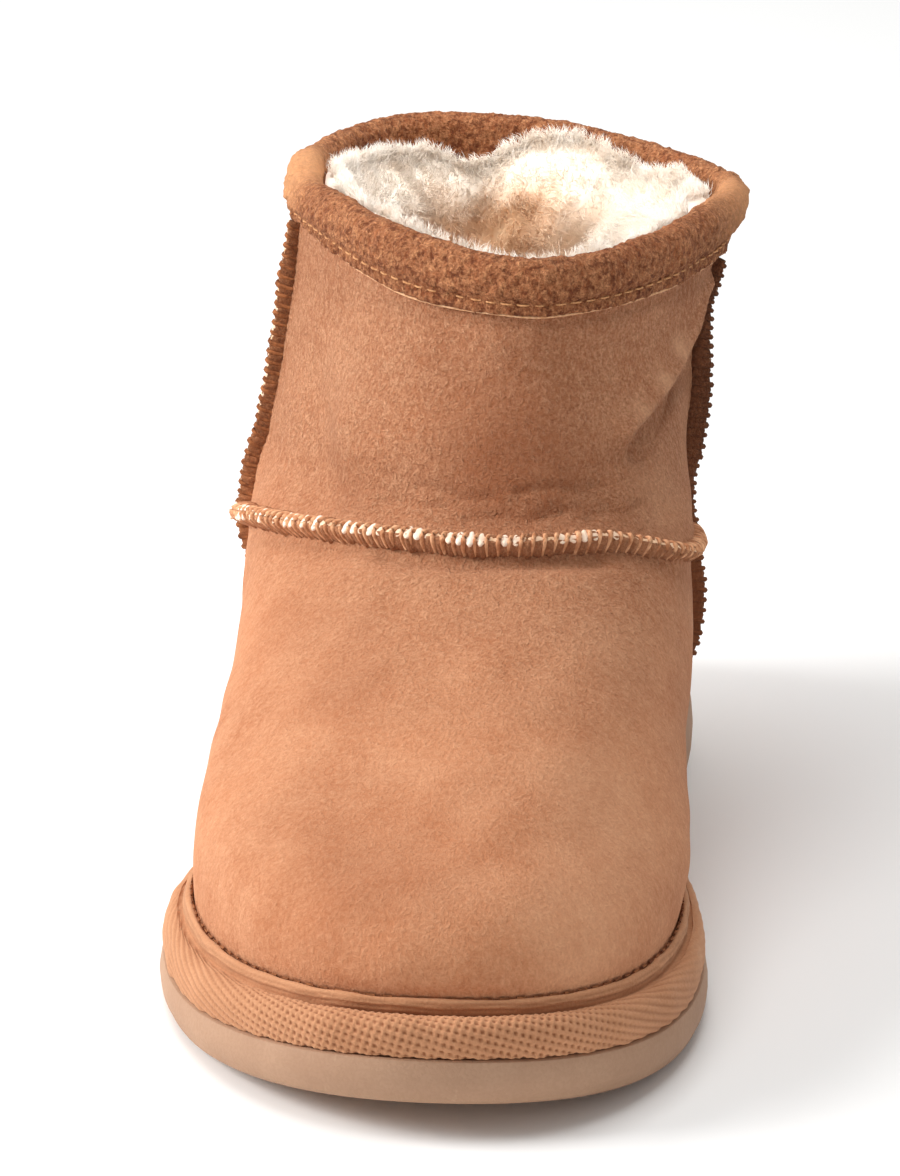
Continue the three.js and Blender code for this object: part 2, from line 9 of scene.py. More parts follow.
import bpy
import numpy as np
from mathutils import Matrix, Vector


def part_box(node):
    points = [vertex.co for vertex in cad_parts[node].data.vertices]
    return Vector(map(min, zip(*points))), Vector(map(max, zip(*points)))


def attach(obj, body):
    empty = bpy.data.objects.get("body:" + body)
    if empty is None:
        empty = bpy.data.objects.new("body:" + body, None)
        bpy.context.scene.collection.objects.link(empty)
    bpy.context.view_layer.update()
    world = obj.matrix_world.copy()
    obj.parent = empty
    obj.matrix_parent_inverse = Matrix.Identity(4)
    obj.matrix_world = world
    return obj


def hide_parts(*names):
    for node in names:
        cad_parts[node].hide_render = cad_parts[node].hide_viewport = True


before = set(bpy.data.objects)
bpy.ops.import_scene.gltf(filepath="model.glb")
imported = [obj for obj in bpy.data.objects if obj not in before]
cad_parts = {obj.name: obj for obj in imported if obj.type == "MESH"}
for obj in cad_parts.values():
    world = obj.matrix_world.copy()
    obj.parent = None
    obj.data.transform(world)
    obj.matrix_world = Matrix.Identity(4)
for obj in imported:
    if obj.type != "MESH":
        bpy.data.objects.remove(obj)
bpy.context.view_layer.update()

# The foot and the shaft, as in the CAD
LENGTH = 264.0
BALL_WIDTH = 110.0
WAIST_WIDTH = 87.0
TOE_LEAN = 5.5
BALL_SKEW = 0.07
INSTEP_HEIGHT = 78.0
COLLAR_HEIGHT = 136.5
SHAFT_LENGTH = 120.0
SHAFT_WIDTH = 89.0
SHAFT_SETBACK = 7.5
COLLAR_TWIST = 16.0
COLLAR_FLARE = 7.0
COLLAR_DIP = 3.5
COLLAR_PEAK = 2.6

# The sole, as in the CAD
FOREFOOT_THICKNESS = 9.4
HEEL_THICKNESS = 16.0
TOE_SPRING = 7.6
ARCH_RISE = 1.6
SOLE_EDGE_ROUND = 2.2
SOLE_BULGE = 0.9
LUG_PITCH = 13.0
GROOVE_WIDTH = 4.0
GROOVE_DEPTH = 2.5
TREAD_RIM = 9.0

# The taped welt and the footbed, as in the CAD
WELT_HEIGHT = 7.8
WELT_REACH_TOE = 8.8
WELT_REACH_SIDE = 5.6
WELT_REACH_HEEL = 5.0
WELT_EDGE_ROUND = 3.2
LIP_HEIGHT = 3.0
LIP_THICKNESS = 1.3
INSOLE_RISE = 5.0
INSOLE_CROWN = 1.6

# The sheepskin, as in the CAD
GAP = 0.3
WALL = 2.2
PILE = 7.5
BINDING_THICKNESS = 1.7
BINDING_OUTSIDE = 9.6
BINDING_NARROWING = 4.2
BINDING_INSIDE = 15.0
BINDING_ROLL = 3.0
SIDE_SEAM_HEIGHT = 2.3
INSTEP_SEAM_HEIGHT = 3.7
INSTEP_SEAM_LEAN = 2.0
SEAM_THICKNESS = 3.2
BED = 0.7
INSTEP_SEAM_DROP = 17.5
INSTEP_SEAM_SAG = 3.0
EVENNESS = 0.35
TOP = 1.46

# Lengths that several pieces share
TOE_END = -LENGTH / 2
HEEL_END = LENGTH / 2
SHAFT_BACK = HEEL_END - SHAFT_SETBACK
SHAFT_FRONT = SHAFT_BACK - SHAFT_LENGTH
LEATHER_TOP = COLLAR_HEIGHT - BINDING_ROLL - COLLAR_PEAK
LINED = WALL + GAP + PILE
FOOT_FRONT = TOE_END + WELT_REACH_TOE
FOOT_BACK = HEEL_END - WELT_REACH_HEEL
FOOT_HALF = BALL_WIDTH / 2 - WELT_REACH_SIDE
SOLE_WAIST = 1 - WAIST_WIDTH / BALL_WIDTH
STRIP_FACE = WALL + 3 * GAP + BINDING_THICKNESS

# Sections of the skin, as in the CAD: a level's front end, its back end behind the heel line,
# half-widths as shares, foot or shaft, widest place, squareness of nose and seat, waist, lean
COLUMNS = ("level", "toe", "heel", "outer", "inner", "shaft", "wide", "nose", "seat", "waist", "lean")
SECTIONS = np.array([
    (0.0, 1.0, 0.0, 1.0, 1.0, 0, 0.75, 2.1, 2.6, 1.0, 1),
    (0.12, 1.012, 1.4, 1.01, 1.03, 0, 0.735, 2.12, 2.6, 0.8, 1),
    (0.26, 0.985, 1.6, 1.03, 1.045, 0, 0.7, 2.15, 2.5, 0.5, 0.9),
    (0.38, 0.92, 0.8, 1.035, 1.035, 0.15, 0.65, 2.15, 2.45, 0.3, 0.7),
    (0.5, 0.78, -0.6, 1.045, 1.03, 0.4, 0.58, 2.15, 2.4, 0.14, 0.4),
    (0.64, 0.6, -2.0, 1.045, 1.01, 0.65, 0.52, 2.12, 2.3, 0.04, 0.2),
    (0.8, 0.4, -2.8, 1.015, 0.985, 0.85, 0.49, 2.1, 2.2, 0, 0.1),
    (0.93, 0.235, -2.8, 1.0, 0.97, 1, 0.48, 2.1, 2.15, 0, 0),
    (1.07, 0.1, -2.2, 0.965, 0.965, 1, 0.475, 2.05, 2.1, 0, 0),
    (1.24, 0.03, -1.0, 0.92, 0.98, 1, 0.46, 1.9, 2.1, 0, 0),
    (TOP, 0.0, 0.0, 0.86, 1.1, 1, 0.46, 1.8, 2.05, 0, 0),
])

# Soft troughs and ridges of the leather: mm off the skin, negative for a trough, the reach to each
# side in mm, and a path of (turn, level)
FOLDS = [
    (1.2, 6.0, [(0.85, 1.35), (0.885, 1.25), (0.915, 1.21), (0.945, 1.17)]),
    (2.7, 2.7, [(0.838, 1.33), (0.869, 1.242), (0.902, 1.2), (0.929, 1.168), (0.945, 1.15)]),
    (-3.6, 3.0, [(0.834, 1.28), (0.853, 1.222), (0.886, 1.18), (0.913, 1.148), (0.93, 1.128)]),
    (-1.2, 4.0, [(0.93, 1.128), (0.95, 1.105), (0.97, 1.09)]),
    (-1.0, 7.0, [(0.85, 1.17), (0.88, 1.14), (0.91, 1.11)]),
    (1.7, 9.0, [(0.13, 1.14), (0.05, 1.16), (0.98, 1.15)]),
    (-0.9, 4.5, [(0.12, 1.045), (0.05, 1.06), (0.97, 1.05), (0.92, 1.02)]),
    (-1.2, 2.6, [(0.095, 0.945), (0.055, 0.965), (0.015, 0.972), (0.975, 0.96)]),
    (0.9, 5.0, [(0.11, 0.89), (0.05, 0.925), (0.0, 0.93), (0.95, 0.92)]),
    (-1.3, 9.0, [(0.19, 1.16), (0.17, 1.03)]),
    (1.0, 6.0, [(0.14, 1.12), (0.12, 1.02)]),
    (-0.7, 0.9, [(0.105, 1.04), (0.09, 1.05), (0.075, 1.045), (0.06, 1.055)]),
    (-0.7, 0.8, [(0.08, 1.075), (0.06, 1.08), (0.045, 1.07), (0.03, 1.075)]),
    (-0.8, 0.9, [(0.045, 1.04), (0.025, 1.05), (0.01, 1.042), (0.99, 1.055)]),
    (-0.7, 0.9, [(0.015, 1.085), (0.995, 1.09), (0.98, 1.08), (0.965, 1.085)]),
    (-0.8, 0.9, [(0.975, 1.04), (0.96, 1.045), (0.945, 1.03), (0.93, 1.035)]),
    (-0.6, 0.8, [(0.945, 1.075), (0.935, 1.07), (0.92, 1.08)]),
    (-0.5, 0.8, [(0.125, 1.07), (0.115, 1.085), (0.1, 1.08)]),
    (-1.3, 6.0, [(0.42, 0.98), (0.5, 0.94), (0.58, 0.98)]),
    (0.9, 8.0, [(0.41, 1.1), (0.5, 1.08), (0.59, 1.1)]),
    (-0.9, 7.0, [(0.36, 0.72), (0.41, 0.62)]),
    (-0.9, 7.0, [(0.64, 0.72), (0.59, 0.62)]),
]

# Soft patches of painted shade on the suede, or of painted light where the amount is negative: turn,
# level, reach in mm and amount
PAINTED_SHADE_PATCHES = [
    (0.03, 1.2, 13.0, 0.42), (0.03, 1.09, 12.0, 0.42), (0.985, 1.13, 10.0, 0.25),
    (0.13, 1.03, 6.0, 0.35), (0.15, 1.21, 10.0, -0.12), (0.886, 1.25, 3.0, -0.5),
    (0.909, 1.212, 3.0, -0.5), (0.932, 1.18, 3.0, -0.35), (0.856, 1.2, 3.5, 0.5),
    (0.878, 1.17, 3.5, 0.5), (0.902, 1.14, 3.5, 0.35), (0.915, 1.035, 9.0, -0.2),
    (0.155, 0.725, 14.0, 0.25), (0.0875, 0.69, 14.0, 0.25), (0.0025, 0.7, 12.0, 0.15),
    (0.955, 0.805, 10.0, -0.15), (0.0175, 0.47, 20.0, 0.22), (0.0375, 0.325, 20.0, 0.25),
    (0.92, 0.52, 16.0, -0.2), (0.915, 0.24, 14.0, -0.25),
]

# The wool all round: its upper edge's depth in mm below the leather's edge, negative above it,
# and how far it swells into the mouth there
WOOL = np.array([
    (0.0, -1.0, 0.0), (0.1, -1.8, 0.0), (0.2, -2.6, 0.5), (0.3, -3.8, 1.0), (0.34, -2.6, 2.0),
    (0.38, -0.8, 3.5), (0.42, 1.0, 4.0), (0.46, 1.8, 3.0), (0.49, 2.8, 1.0), (0.515, 6.5, -1.5),
    (0.54, 2.4, 1.5), (0.56, -2.2, 4.0), (0.59, -4.2, 5.0), (0.62, -2.2, 3.5), (0.64, 0.9, -0.5),
    (0.66, -1.0, 2.5), (0.7, -3.8, 4.5), (0.74, -1.4, 4.0), (0.78, -1.0, 3.0), (0.82, -3.2, 2.0),
    (0.88, -2.6, 0.5), (0.94, -1.4, 0.0), (1.0, -1.0, 0.0),
])

# Ripples of the surfaces: height in mm, length in mm, seed and, where it isn't 14, how many waves
LEATHER_RIPPLES = ((0.45, 42, 3), (0.16, 15, 4))
NAP_RIPPLES = ((0.13, 1.5, 41, 24), (0.13, 3.6, 42, 20), (0.15, 16, 43))
WOOL_RIPPLES = ((1.1, 15, 51), (0.45, 6.5, 52))
FOOTBED_RIPPLES = ((0.8, 7, 91), (0.9, 16, 92))
SEAM_SWELL = 1.0  # how far the leather rises to a seam
SEAM_SWELL_REACH = 2.4

# The camera: where the photograph was taken from, aimed at the middle of the one boot
CAMERA = (104.1, -1119.8, 468.6)
AIM = (-2.0, -6.0, 66.5)
LENS = 176.0
SKY_LIGHT = 0.38  # strength of the even light from all round


def lerp(low, high, share):
    return low + (high - low) * share


def smoothstep(value, low, high):
    share = np.clip((value - low) / (high - low), 0, 1)
    return share * share * (3 - 2 * share)


def hump(distance, reach):
    return np.where(np.abs(distance) < reach, np.cos(distance / reach * np.pi * 0.5) ** 2, 0)


def together(first, second):
    return np.broadcast_arrays(np.asarray(first, float), np.asarray(second, float))


def round_turns(count):
    return np.arange(count) / count


def row_at(level):
    """Every column of SECTIONS at some levels, on a smooth curve through the rows."""
    keys = SECTIONS[:, 0]
    level = np.clip(level, keys[0], keys[-1])
    i = np.clip(np.searchsorted(keys, level) - 1, 0, len(keys) - 2)
    before, after = np.maximum(i - 1, 0), np.minimum(i + 2, len(keys) - 1)
    span = (keys[i + 1] - keys[i])[..., None]
    t = (level - keys[i])[..., None] / span
    rise = (SECTIONS[i + 1] - SECTIONS[before]) / (keys[i + 1] - keys[before])[..., None]
    fall = (SECTIONS[after] - SECTIONS[i]) / (keys[after] - keys[i])[..., None]
    values = (2 * t**3 - 3 * t**2 + 1) * SECTIONS[i] + (t**3 - 2 * t**2 + t) * span * rise
    values = values + (3 * t**2 - 2 * t**3) * SECTIONS[i + 1] + (t**3 - t**2) * span * fall
    return {name: values[..., k] for k, name in enumerate(COLUMNS)}


SPRING_START = lerp(HEEL_END, TOE_END, 0.76)
ARCH_CENTRE = lerp(HEEL_END, TOE_END, 0.46)
LIFT_START = lerp(HEEL_END, TOE_END, 0.6)
LIFT_END = lerp(HEEL_END, TOE_END, 0.26)


def spring(y):
    return TOE_SPRING * np.clip((SPRING_START - y) / (SPRING_START - TOE_END), 0, 1) ** 2


def tread_height(y):
    return spring(y) + ARCH_RISE * hump(y - ARCH_CENTRE, LENGTH * 0.15)


def outsole_top(y):
    return spring(y) + lerp(FOREFOOT_THICKNESS, HEEL_THICKNESS, smoothstep(y, LIFT_START, LIFT_END))


def welt_top(y):
    return outsole_top(y) + GAP + WELT_HEIGHT


def plan_point(plan, turn):
    """A closed outline: turn 0 at the toe, 0.25 on the outer side, 0.5 at the heel, 0.75 inside."""
    turn = turn - np.floor(turn)
    outer_side = turn <= 0.5
    half = np.where(outer_side, turn * 2, (1 - turn) * 2)
    front = half <= 0.5
    share = np.where(front, half, 1 - half) * 2
    angle = share * (1 + EVENNESS * (1 - share)) * np.pi * 0.5
    power = 2 / np.where(front, plan["nose"], plan["seat"])
    widest = lerp(plan["back"], plan["front"], plan["wide"] - np.where(outer_side, plan["skew"], 0))
    reach = np.where(front, plan["front"], plan["back"]) - widest
    along = reach * np.maximum(np.cos(angle), 0) ** power
    y = widest + along
    width = np.where(outer_side, -plan["outer"], plan["inner"]) * np.maximum(np.sin(angle), 1e-9) ** power
    waist = 1 - plan["waist"] * hump(y - ARCH_CENTRE, LENGTH * 0.3)
    x = width * waist + np.where(front, plan["lean"] * (along / reach) ** 2, 0)
    twist = np.radians(plan["twist"])
    middle = (plan["front"] + plan["back"]) / 2
    y = y - middle
    return x * np.cos(twist) - y * np.sin(twist), middle + x * np.sin(twist) + y * np.cos(twist)


def sole_plan(inward=0.0):
    first = dict(zip(COLUMNS, SECTIONS[0]))
    half = BALL_WIDTH / 2 - inward
    return first | {
        "front": TOE_END + inward, "back": HEEL_END - inward, "outer": half, "inner": half,
        "waist": SOLE_WAIST, "lean": TOE_LEAN, "skew": BALL_SKEW, "twist": 0.0,
    }


def skin_plan(level):
    row = row_at(level)
    half = lerp(FOOT_HALF, SHAFT_WIDTH / 2, row["shaft"])
    back = lerp(FOOT_BACK, SHAFT_BACK, np.clip(level / TOP, 0, 1)) + row["heel"]
    return row | {
        "front": lerp(SHAFT_FRONT, FOOT_FRONT, row["toe"]), "back": back,
        "outer": half * row["outer"], "inner": half * row["inner"],
        "waist": SOLE_WAIST * row["waist"], "lean": TOE_LEAN * row["lean"],
        "skew": BALL_SKEW * (1 - row["shaft"]), "twist": COLLAR_TWIST * row["shaft"] ** 2,
    }


def leather_edge(turn):
    around = turn - np.floor(turn)
    return LEATHER_TOP + COLLAR_PEAK * hump(around - 0.15, 0.15) - COLLAR_DIP * hump(around - 0.68, 0.2)


def level_below(depth):
    return TOP - depth / (LEATHER_TOP - INSTEP_HEIGHT) * (TOP - 1)


def on_skin(turn, level):
    turn, level = together(turn, level)
    around = turn - np.floor(turn)
    x, y = plan_point(skin_plan(level), around)
    foot = lerp(welt_top(y) + GAP, INSTEP_HEIGHT, level)
    shaft = lerp(INSTEP_HEIGHT, leather_edge(turn), (level - 1) / (TOP - 1))
    x = x + COLLAR_FLARE * smoothstep(level, 1.25, TOP) * hump(around - 0.72, 0.2)
    return np.stack([x, y, np.where(level <= 1, foot, shaft)], -1)


def unit(vectors):
    return vectors / np.maximum(np.linalg.norm(vectors, axis=-1, keepdims=True), 1e-9)


def outward(turn, level):
    around = on_skin(turn + 0.002, level) - on_skin(turn - 0.002, level)
    up = on_skin(turn, np.minimum(level + 0.01, TOP)) - on_skin(turn, np.maximum(level - 0.01, 0))
    return unit(np.cross(up, around))


def outward_of(rings):
    return unit(np.cross(np.gradient(rings, axis=0), np.gradient(rings, axis=1)))


def off_skin(turn, level, distance, same_height=False):
    """Points a distance off the skin, kept at their height in the end sections and on request."""
    turn, level = together(turn, level)
    out = outward(turn, level)
    flat = out * (1, 1, 0)
    flat = flat / (flat**2).sum(-1, keepdims=True)
    kept = (level <= 0) | (level >= TOP) | same_height
    out = np.where(kept[..., None], flat, out)
    return on_skin(turn, level) + out * np.asarray(distance)[..., None]


def off_collar(turn, depth, distance):
    """Points a depth below the leather's edge, or above it where negative."""
    turn, depth = together(turn, depth)
    point = off_skin(turn, level_below(np.maximum(depth, 0)), distance, same_height=True)
    point[..., 2] = leather_edge(turn) - depth
    return point


def turn_at(point_at, y, side):
    """Where an outline reaches a place along the foot, on one side."""
    low, high = 0.0, 0.5
    for _ in range(24):
        middle = (low + high) / 2
        if point_at(middle if side == "outer" else 1 - middle)[1] < y:
            low = middle
        else:
            high = middle
    return low if side == "outer" else 1 - low


# The seams' paths, as in the CAD
SIDE_SEAM_TOP = lerp(SHAFT_BACK, SHAFT_FRONT, 0.53)
SIDE_SEAM_SOLE = lerp(SHAFT_BACK, SHAFT_FRONT, 0.6)
SEAM_RISE = INSTEP_HEIGHT - float(welt_top(SIDE_SEAM_SOLE))
LIP_LEVEL = (LIP_HEIGHT + 2 * GAP) / SEAM_RISE
SEAM_END_LEVEL = 1 - INSTEP_SEAM_DROP / SEAM_RISE


def side_seam_place(level):
    return lerp(SIDE_SEAM_SOLE, SIDE_SEAM_TOP, level / TOP)


def binding_foot(turn):
    """How deep the binding's outer strip reaches."""
    around = turn - np.floor(turn)
    return BINDING_OUTSIDE - BINDING_NARROWING * hump(around - 0.28, 0.2)


def side_seam_path(side, count):
    top_turn = turn_at(lambda t: on_skin(t, TOP), SIDE_SEAM_TOP, side)
    top = level_below(binding_foot(top_turn) + 2.5 * GAP)
    levels = np.linspace(LIP_LEVEL, float(top), count)
    found = [turn_at(lambda t: on_skin(t, v), side_seam_place(v), side) for v in levels]
    return np.array(found), levels


def instep_seam_path(side, count):
    y = side_seam_place(SEAM_END_LEVEL) - SEAM_THICKNESS / 2 - 5 * GAP
    outer = turn_at(lambda t: on_skin(t, SEAM_END_LEVEL), y, "outer")
    inner = turn_at(lambda t: on_skin(t, SEAM_END_LEVEL), y, "inner") - 1
    share = np.linspace(0, 1, count)
    rise = np.maximum(np.sin(share * np.pi), 0) ** 0.8
    rise = np.where(share > 0.5, rise**1.25, rise)
    sag = INSTEP_SEAM_SAG / INSTEP_SEAM_DROP * 0.75 * hump(share - 0.72, 0.2)
    return lerp(outer, inner, share), lerp(SEAM_END_LEVEL, 1, rise - sag)


# The CAD is centred on the floor, and so is all that is built here
sole_low, sole_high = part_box("outsole")
plan_x, plan_y = plan_point(sole_plan(-SOLE_BULGE), np.linspace(0, 1, 2000))
CENTRE = np.array([
    (plan_x.min() + plan_x.max()) / 2 - (sole_low.x + sole_high.x) * 500,
    (plan_y.min() + plan_y.max()) / 2 - (sole_low.y + sole_high.y) * 500,
    0.0,
])


def ripples(points, length, seed, count=14):
    """Smooth seeded ripples, about -1 to 1, from waves in many directions."""
    rng = np.random.default_rng(seed)
    ways = unit(rng.normal(size=(count, 3)))
    waves = ways * (2 * np.pi / (length * rng.uniform(0.75, 1.35, (count, 1))))
    phases = rng.uniform(0, 2 * np.pi, count)
    return np.sin(points @ waves.T + phases).sum(-1) / math.sqrt(count)


def layers(points, rows):
    """Ripples of several lengths together."""
    return sum(height * ripples(points, *rest) for height, *rest in rows)


def lengths(points):
    """How far along a line each of its points is."""
    return np.concatenate([[0], np.cumsum(np.linalg.norm(np.diff(points, axis=0), axis=-1))])


def path_points(path):
    """A fold's path as points on the skin, a few millimetres apart."""
    corners = np.array(path, float)
    corners[:, 0] = np.unwrap(corners[:, 0], period=1)
    keys = np.arange(len(corners))
    fine = np.linspace(0, len(corners) - 1, 14 * len(corners))
    return on_skin(np.interp(fine, keys, corners[:, 0]), np.interp(fine, keys, corners[:, 1]))


def nearest(points, line):
    flat = points.reshape(-1, 3)
    best = np.full(len(flat), 1e9)
    for place in line:
        best = np.minimum(best, ((flat - place) ** 2).sum(-1))
    return np.sqrt(best).reshape(points.shape[:-1])


SEAM_PATHS = {
    "seam_outer": (side_seam_path, "outer", 90),
    "seam_inner": (side_seam_path, "inner", 90),
    "seam_instep": (instep_seam_path, "", 170),
}
SEAM_LINES = [on_skin(*make(side, count)) for make, side, count in SEAM_PATHS.values()]
FOLD_LINES = [path_points(path) for _, _, path in FOLDS]


def fade(distance, reach):
    return np.exp(-((distance / reach) ** 2))


def relief(turn, level):
    """How far the soft leather stands off the skin."""
    place = on_skin(turn, level)
    total = layers(place, LEATHER_RIPPLES)
    for (depth, reach, _), line in zip(FOLDS, FOLD_LINES):
        total = total + depth * fade(nearest(place, line), reach)
    for line in SEAM_LINES:
        total = total + SEAM_SWELL * fade(nearest(place, line), SEAM_SWELL_REACH)
    return total * smoothstep(np.asarray(level, float), 0.03, 0.2)


def shade(turn, level):
    """How much painted shade the suede has at a place, or painted light where this is negative."""
    place = on_skin(turn, level)
    total = 0 * place[..., 0]
    for at_turn, at_level, reach, amount in PAINTED_SHADE_PATCHES:
        away = np.linalg.norm(place - on_skin(at_turn, at_level), axis=-1)
        total = total + amount * fade(away, reach)
    return total


# Meshes from rings of points
def grid(rows, count, loop=False):
    """Four-cornered faces between rings, facing out where the rings go up the outside."""
    r = np.arange(rows if loop else rows - 1)[:, None]
    k = np.arange(count)[None, :]
    after = (k + 1) % count
    up = (r + 1) % rows
    corners = [r * count + k, up * count + k, up * count + after, r * count + after]
    return np.stack(corners, -1).reshape(-1, 4)


def plate_faces(rows, count):
    """A plate from rings, the lowest first: its side, its underside and its top."""
    k = np.arange(count // 2)
    near, far = (count - k) % count, count - k - 1
    low = np.stack([k, k + 1, far, near], -1)
    return [grid(rows, count), low, low[:, ::-1] + (rows - 1) * count]


def rod_faces(steps, sides):
    """One closed rod from rings along it."""
    end = np.arange(sides)[None, :]
    return [grid(steps, sides), end, end[:, ::-1] + (steps - 1) * sides]


def make_mesh(name, points, faces, material, fields=None):
    """One object from points in CAD millimetres and a list of face arrays."""
    mesh = bpy.data.meshes.new(name)
    points = (np.asarray(points, float).reshape(-1, 3) - CENTRE) / 1000
    mesh.vertices.add(len(points))
    mesh.vertices.foreach_set("co", points.astype(np.float32).ravel())
    sizes = np.concatenate([np.full(len(part), part.shape[1]) for part in faces])
    corners = np.concatenate([part.ravel() for part in faces])
    mesh.loops.add(len(corners))
    mesh.loops.foreach_set("vertex_index", corners.astype(np.int32))
    mesh.polygons.add(len(sizes))
    starts = np.concatenate([[0], np.cumsum(sizes)[:-1]])
    mesh.polygons.foreach_set("loop_start", starts.astype(np.int32))
    mesh.update(calc_edges=True)
    mesh.validate()
    for field, values in (fields or {}).items():
        layer = mesh.attributes.new(field, "FLOAT", "POINT")
        layer.data.foreach_set("value", values.ravel().astype(np.float32))
    mesh.shade_smooth()
    mesh.materials.append(material)
    made = bpy.data.objects.new(name, mesh)
    bpy.context.scene.collection.objects.link(made)
    return made


def dress(piece, slot, *nodes):
    """A piece rides on the boot and may stand for CAD nodes; the slot is not used."""
    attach(piece, "root")
    if nodes:
        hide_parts(*nodes)
    return piece


def ring_mesh(name, rings, material, fields=None):
    """A closed wall from rings in a loop: up the outside and down the inside."""
    rings = np.asarray(rings)
    rows, count = rings.shape[:2]
    return make_mesh(name, rings, [grid(rows, count, loop=True)], material, fields)


def sides_of(ahead):
    """Two directions square to each one ahead."""
    helper = np.where(np.abs(ahead[..., 2:]) < 0.8, (0.0, 0.0, 1.0), (1.0, 0.0, 0.0))
    side = unit(np.cross(ahead, helper))
    return side, np.cross(side, ahead)


def tubes(name, lines, radius, material, sides):
    """Many thin closed tubes in one mesh. lines is (tubes, points, 3); radius one for each point."""
    lines = np.asarray(lines, float)
    number, steps = lines.shape[:2]
    side, over = sides_of(unit(np.gradient(lines, axis=1)))
    radius = np.broadcast_to(np.asarray(radius, float), (number, steps))
    angles = round_turns(sides) * 2 * np.pi
    ring = side[:, :, None] * np.cos(angles)[:, None] + over[:, :, None] * np.sin(angles)[:, None]
    points = lines[:, :, None] + ring * radius[:, :, None, None]
    base = (np.arange(number) * steps * sides)[:, None, None]
    walls = (grid(steps, sides) + base).reshape(-1, 4)[:, ::-1]
    first = np.arange(sides)[None, :] + base[:, 0]
    last = first[:, ::-1] + (steps - 1) * sides
    return make_mesh(name, points, [walls, first, last], material)


def stitch_turns(ring_at, samples, pitch, length, points):
    """The turns of running stitches round a ring, a row for each stitch."""
    turns = np.linspace(0, 1, samples)
    along = lengths(ring_at(turns))
    starts = np.arange(0, along[-1] - pitch, pitch)
    return np.interp(starts[:, None] + np.linspace(0, length, points), along, turns)


# Materials
def linear(red, green, blue):
    """A screen colour, 0 to 255, as Blender's linear one."""
    shares = [part / 255 for part in (red, green, blue)]
    return [s / 12.92 if s <= 0.04045 else ((s + 0.055) / 1.055) ** 2.4 for s in shares] + [1.0]


class Finish:
    """A material in the making: one shader, and short names for the nodes that feed it."""

    def __init__(self, name, roughness, sheen=0.0):
        self.material = bpy.data.materials.new(name)
        self.material.use_nodes = True
        self.nodes = self.material.node_tree.nodes
        self.links = self.material.node_tree.links
        self.shader = self.nodes["Principled BSDF"]
        values = {"Roughness": roughness, "Specular IOR Level": 0.2, "Sheen Weight": sheen,
                  "Sheen Roughness": 0.5, "Sheen Tint": linear(255, 230, 205)}
        for socket, value in values.items():
            self.shader.inputs[socket].default_value = value
        self.place = self.nodes.new("ShaderNodeTexCoord").outputs["Object"]

    def add(self, kind, output, inputs, **settings):
        """A node with its settings, its inputs as values or sockets, and the output asked for."""
        node = self.nodes.new("ShaderNode" + kind)
        for name, value in settings.items():
            setattr(node, name, value)
        for name, value in inputs.items():
            if isinstance(value, bpy.types.NodeSocket):
                self.links.new(value, node.inputs[name])
            else:
                node.inputs[name].default_value = value
        return node.outputs[output]

    def field(self, name):
        return self.add("Attribute", "Fac", {}, attribute_name=name)

    def noise(self, scale, detail=3.0, rough=0.55, stretch=None):
        place = self.place
        if stretch:
            turned = {"Vector": place, "Scale": stretch, "Rotation": (0.3, 0.5, 0.4)}
            place = self.add("Mapping", "Vector", turned)
        inputs = {"Vector": place, "Scale": scale, "Detail": detail, "Roughness": rough}
        return self.add("TexNoise", "Fac", inputs)

    def spread(self, value, low, high):
        """A value from low to high, stretched to 0 to 1."""
        return self.add("MapRange", "Result", {"Value": value, "From Min": low, "From Max": high})

    def patches(self, scale, detail, rough, low, high, stretch=None):
        """Noise, its values from low to high stretched to 0 to 1."""
        return self.spread(self.noise(scale, detail, rough, stretch), low, high)

    def height(self, low, high):
        """How high a place lies, from low to high in metres, as 0 to 1."""
        return self.spread(self.add("SeparateXYZ", "Z", {"Vector": self.place}), low, high)

    def maths(self, operation, first, second):
        return self.add("Math", "Value", {0: first, 1: second}, operation=operation)

    def times(self, first, second):
        return self.maths("MULTIPLY", first, second)

    def rest(self, value):
        return self.maths("SUBTRACT", 1.0, value)

    def mix(self, share, first, second):
        """Two colours, each a screen colour or a socket, mixed by a value or a socket."""
        first, second = (linear(*c) if isinstance(c, tuple) else c for c in (first, second))
        return self.add("Mix", 2, {0: share, 6: first, 7: second}, data_type="RGBA")

    def colour(self, socket):
        self.links.new(socket, self.shader.inputs["Base Color"])

    def bump(self, height, depth, strength=1.0, under=None):
        """Relief of a depth in mm, over another relief if one is given."""
        inputs = {"Height": height, "Distance": depth / 1000, "Strength": strength}
        if under:
            inputs["Normal"] = under
        normal = self.add("Bump", "Normal", inputs)
        self.links.new(normal, self.shader.inputs["Normal"])
        return normal


NAP_WAVE_DEPTH = 1.2
NAP_GRAIN_DEPTH = 0.7


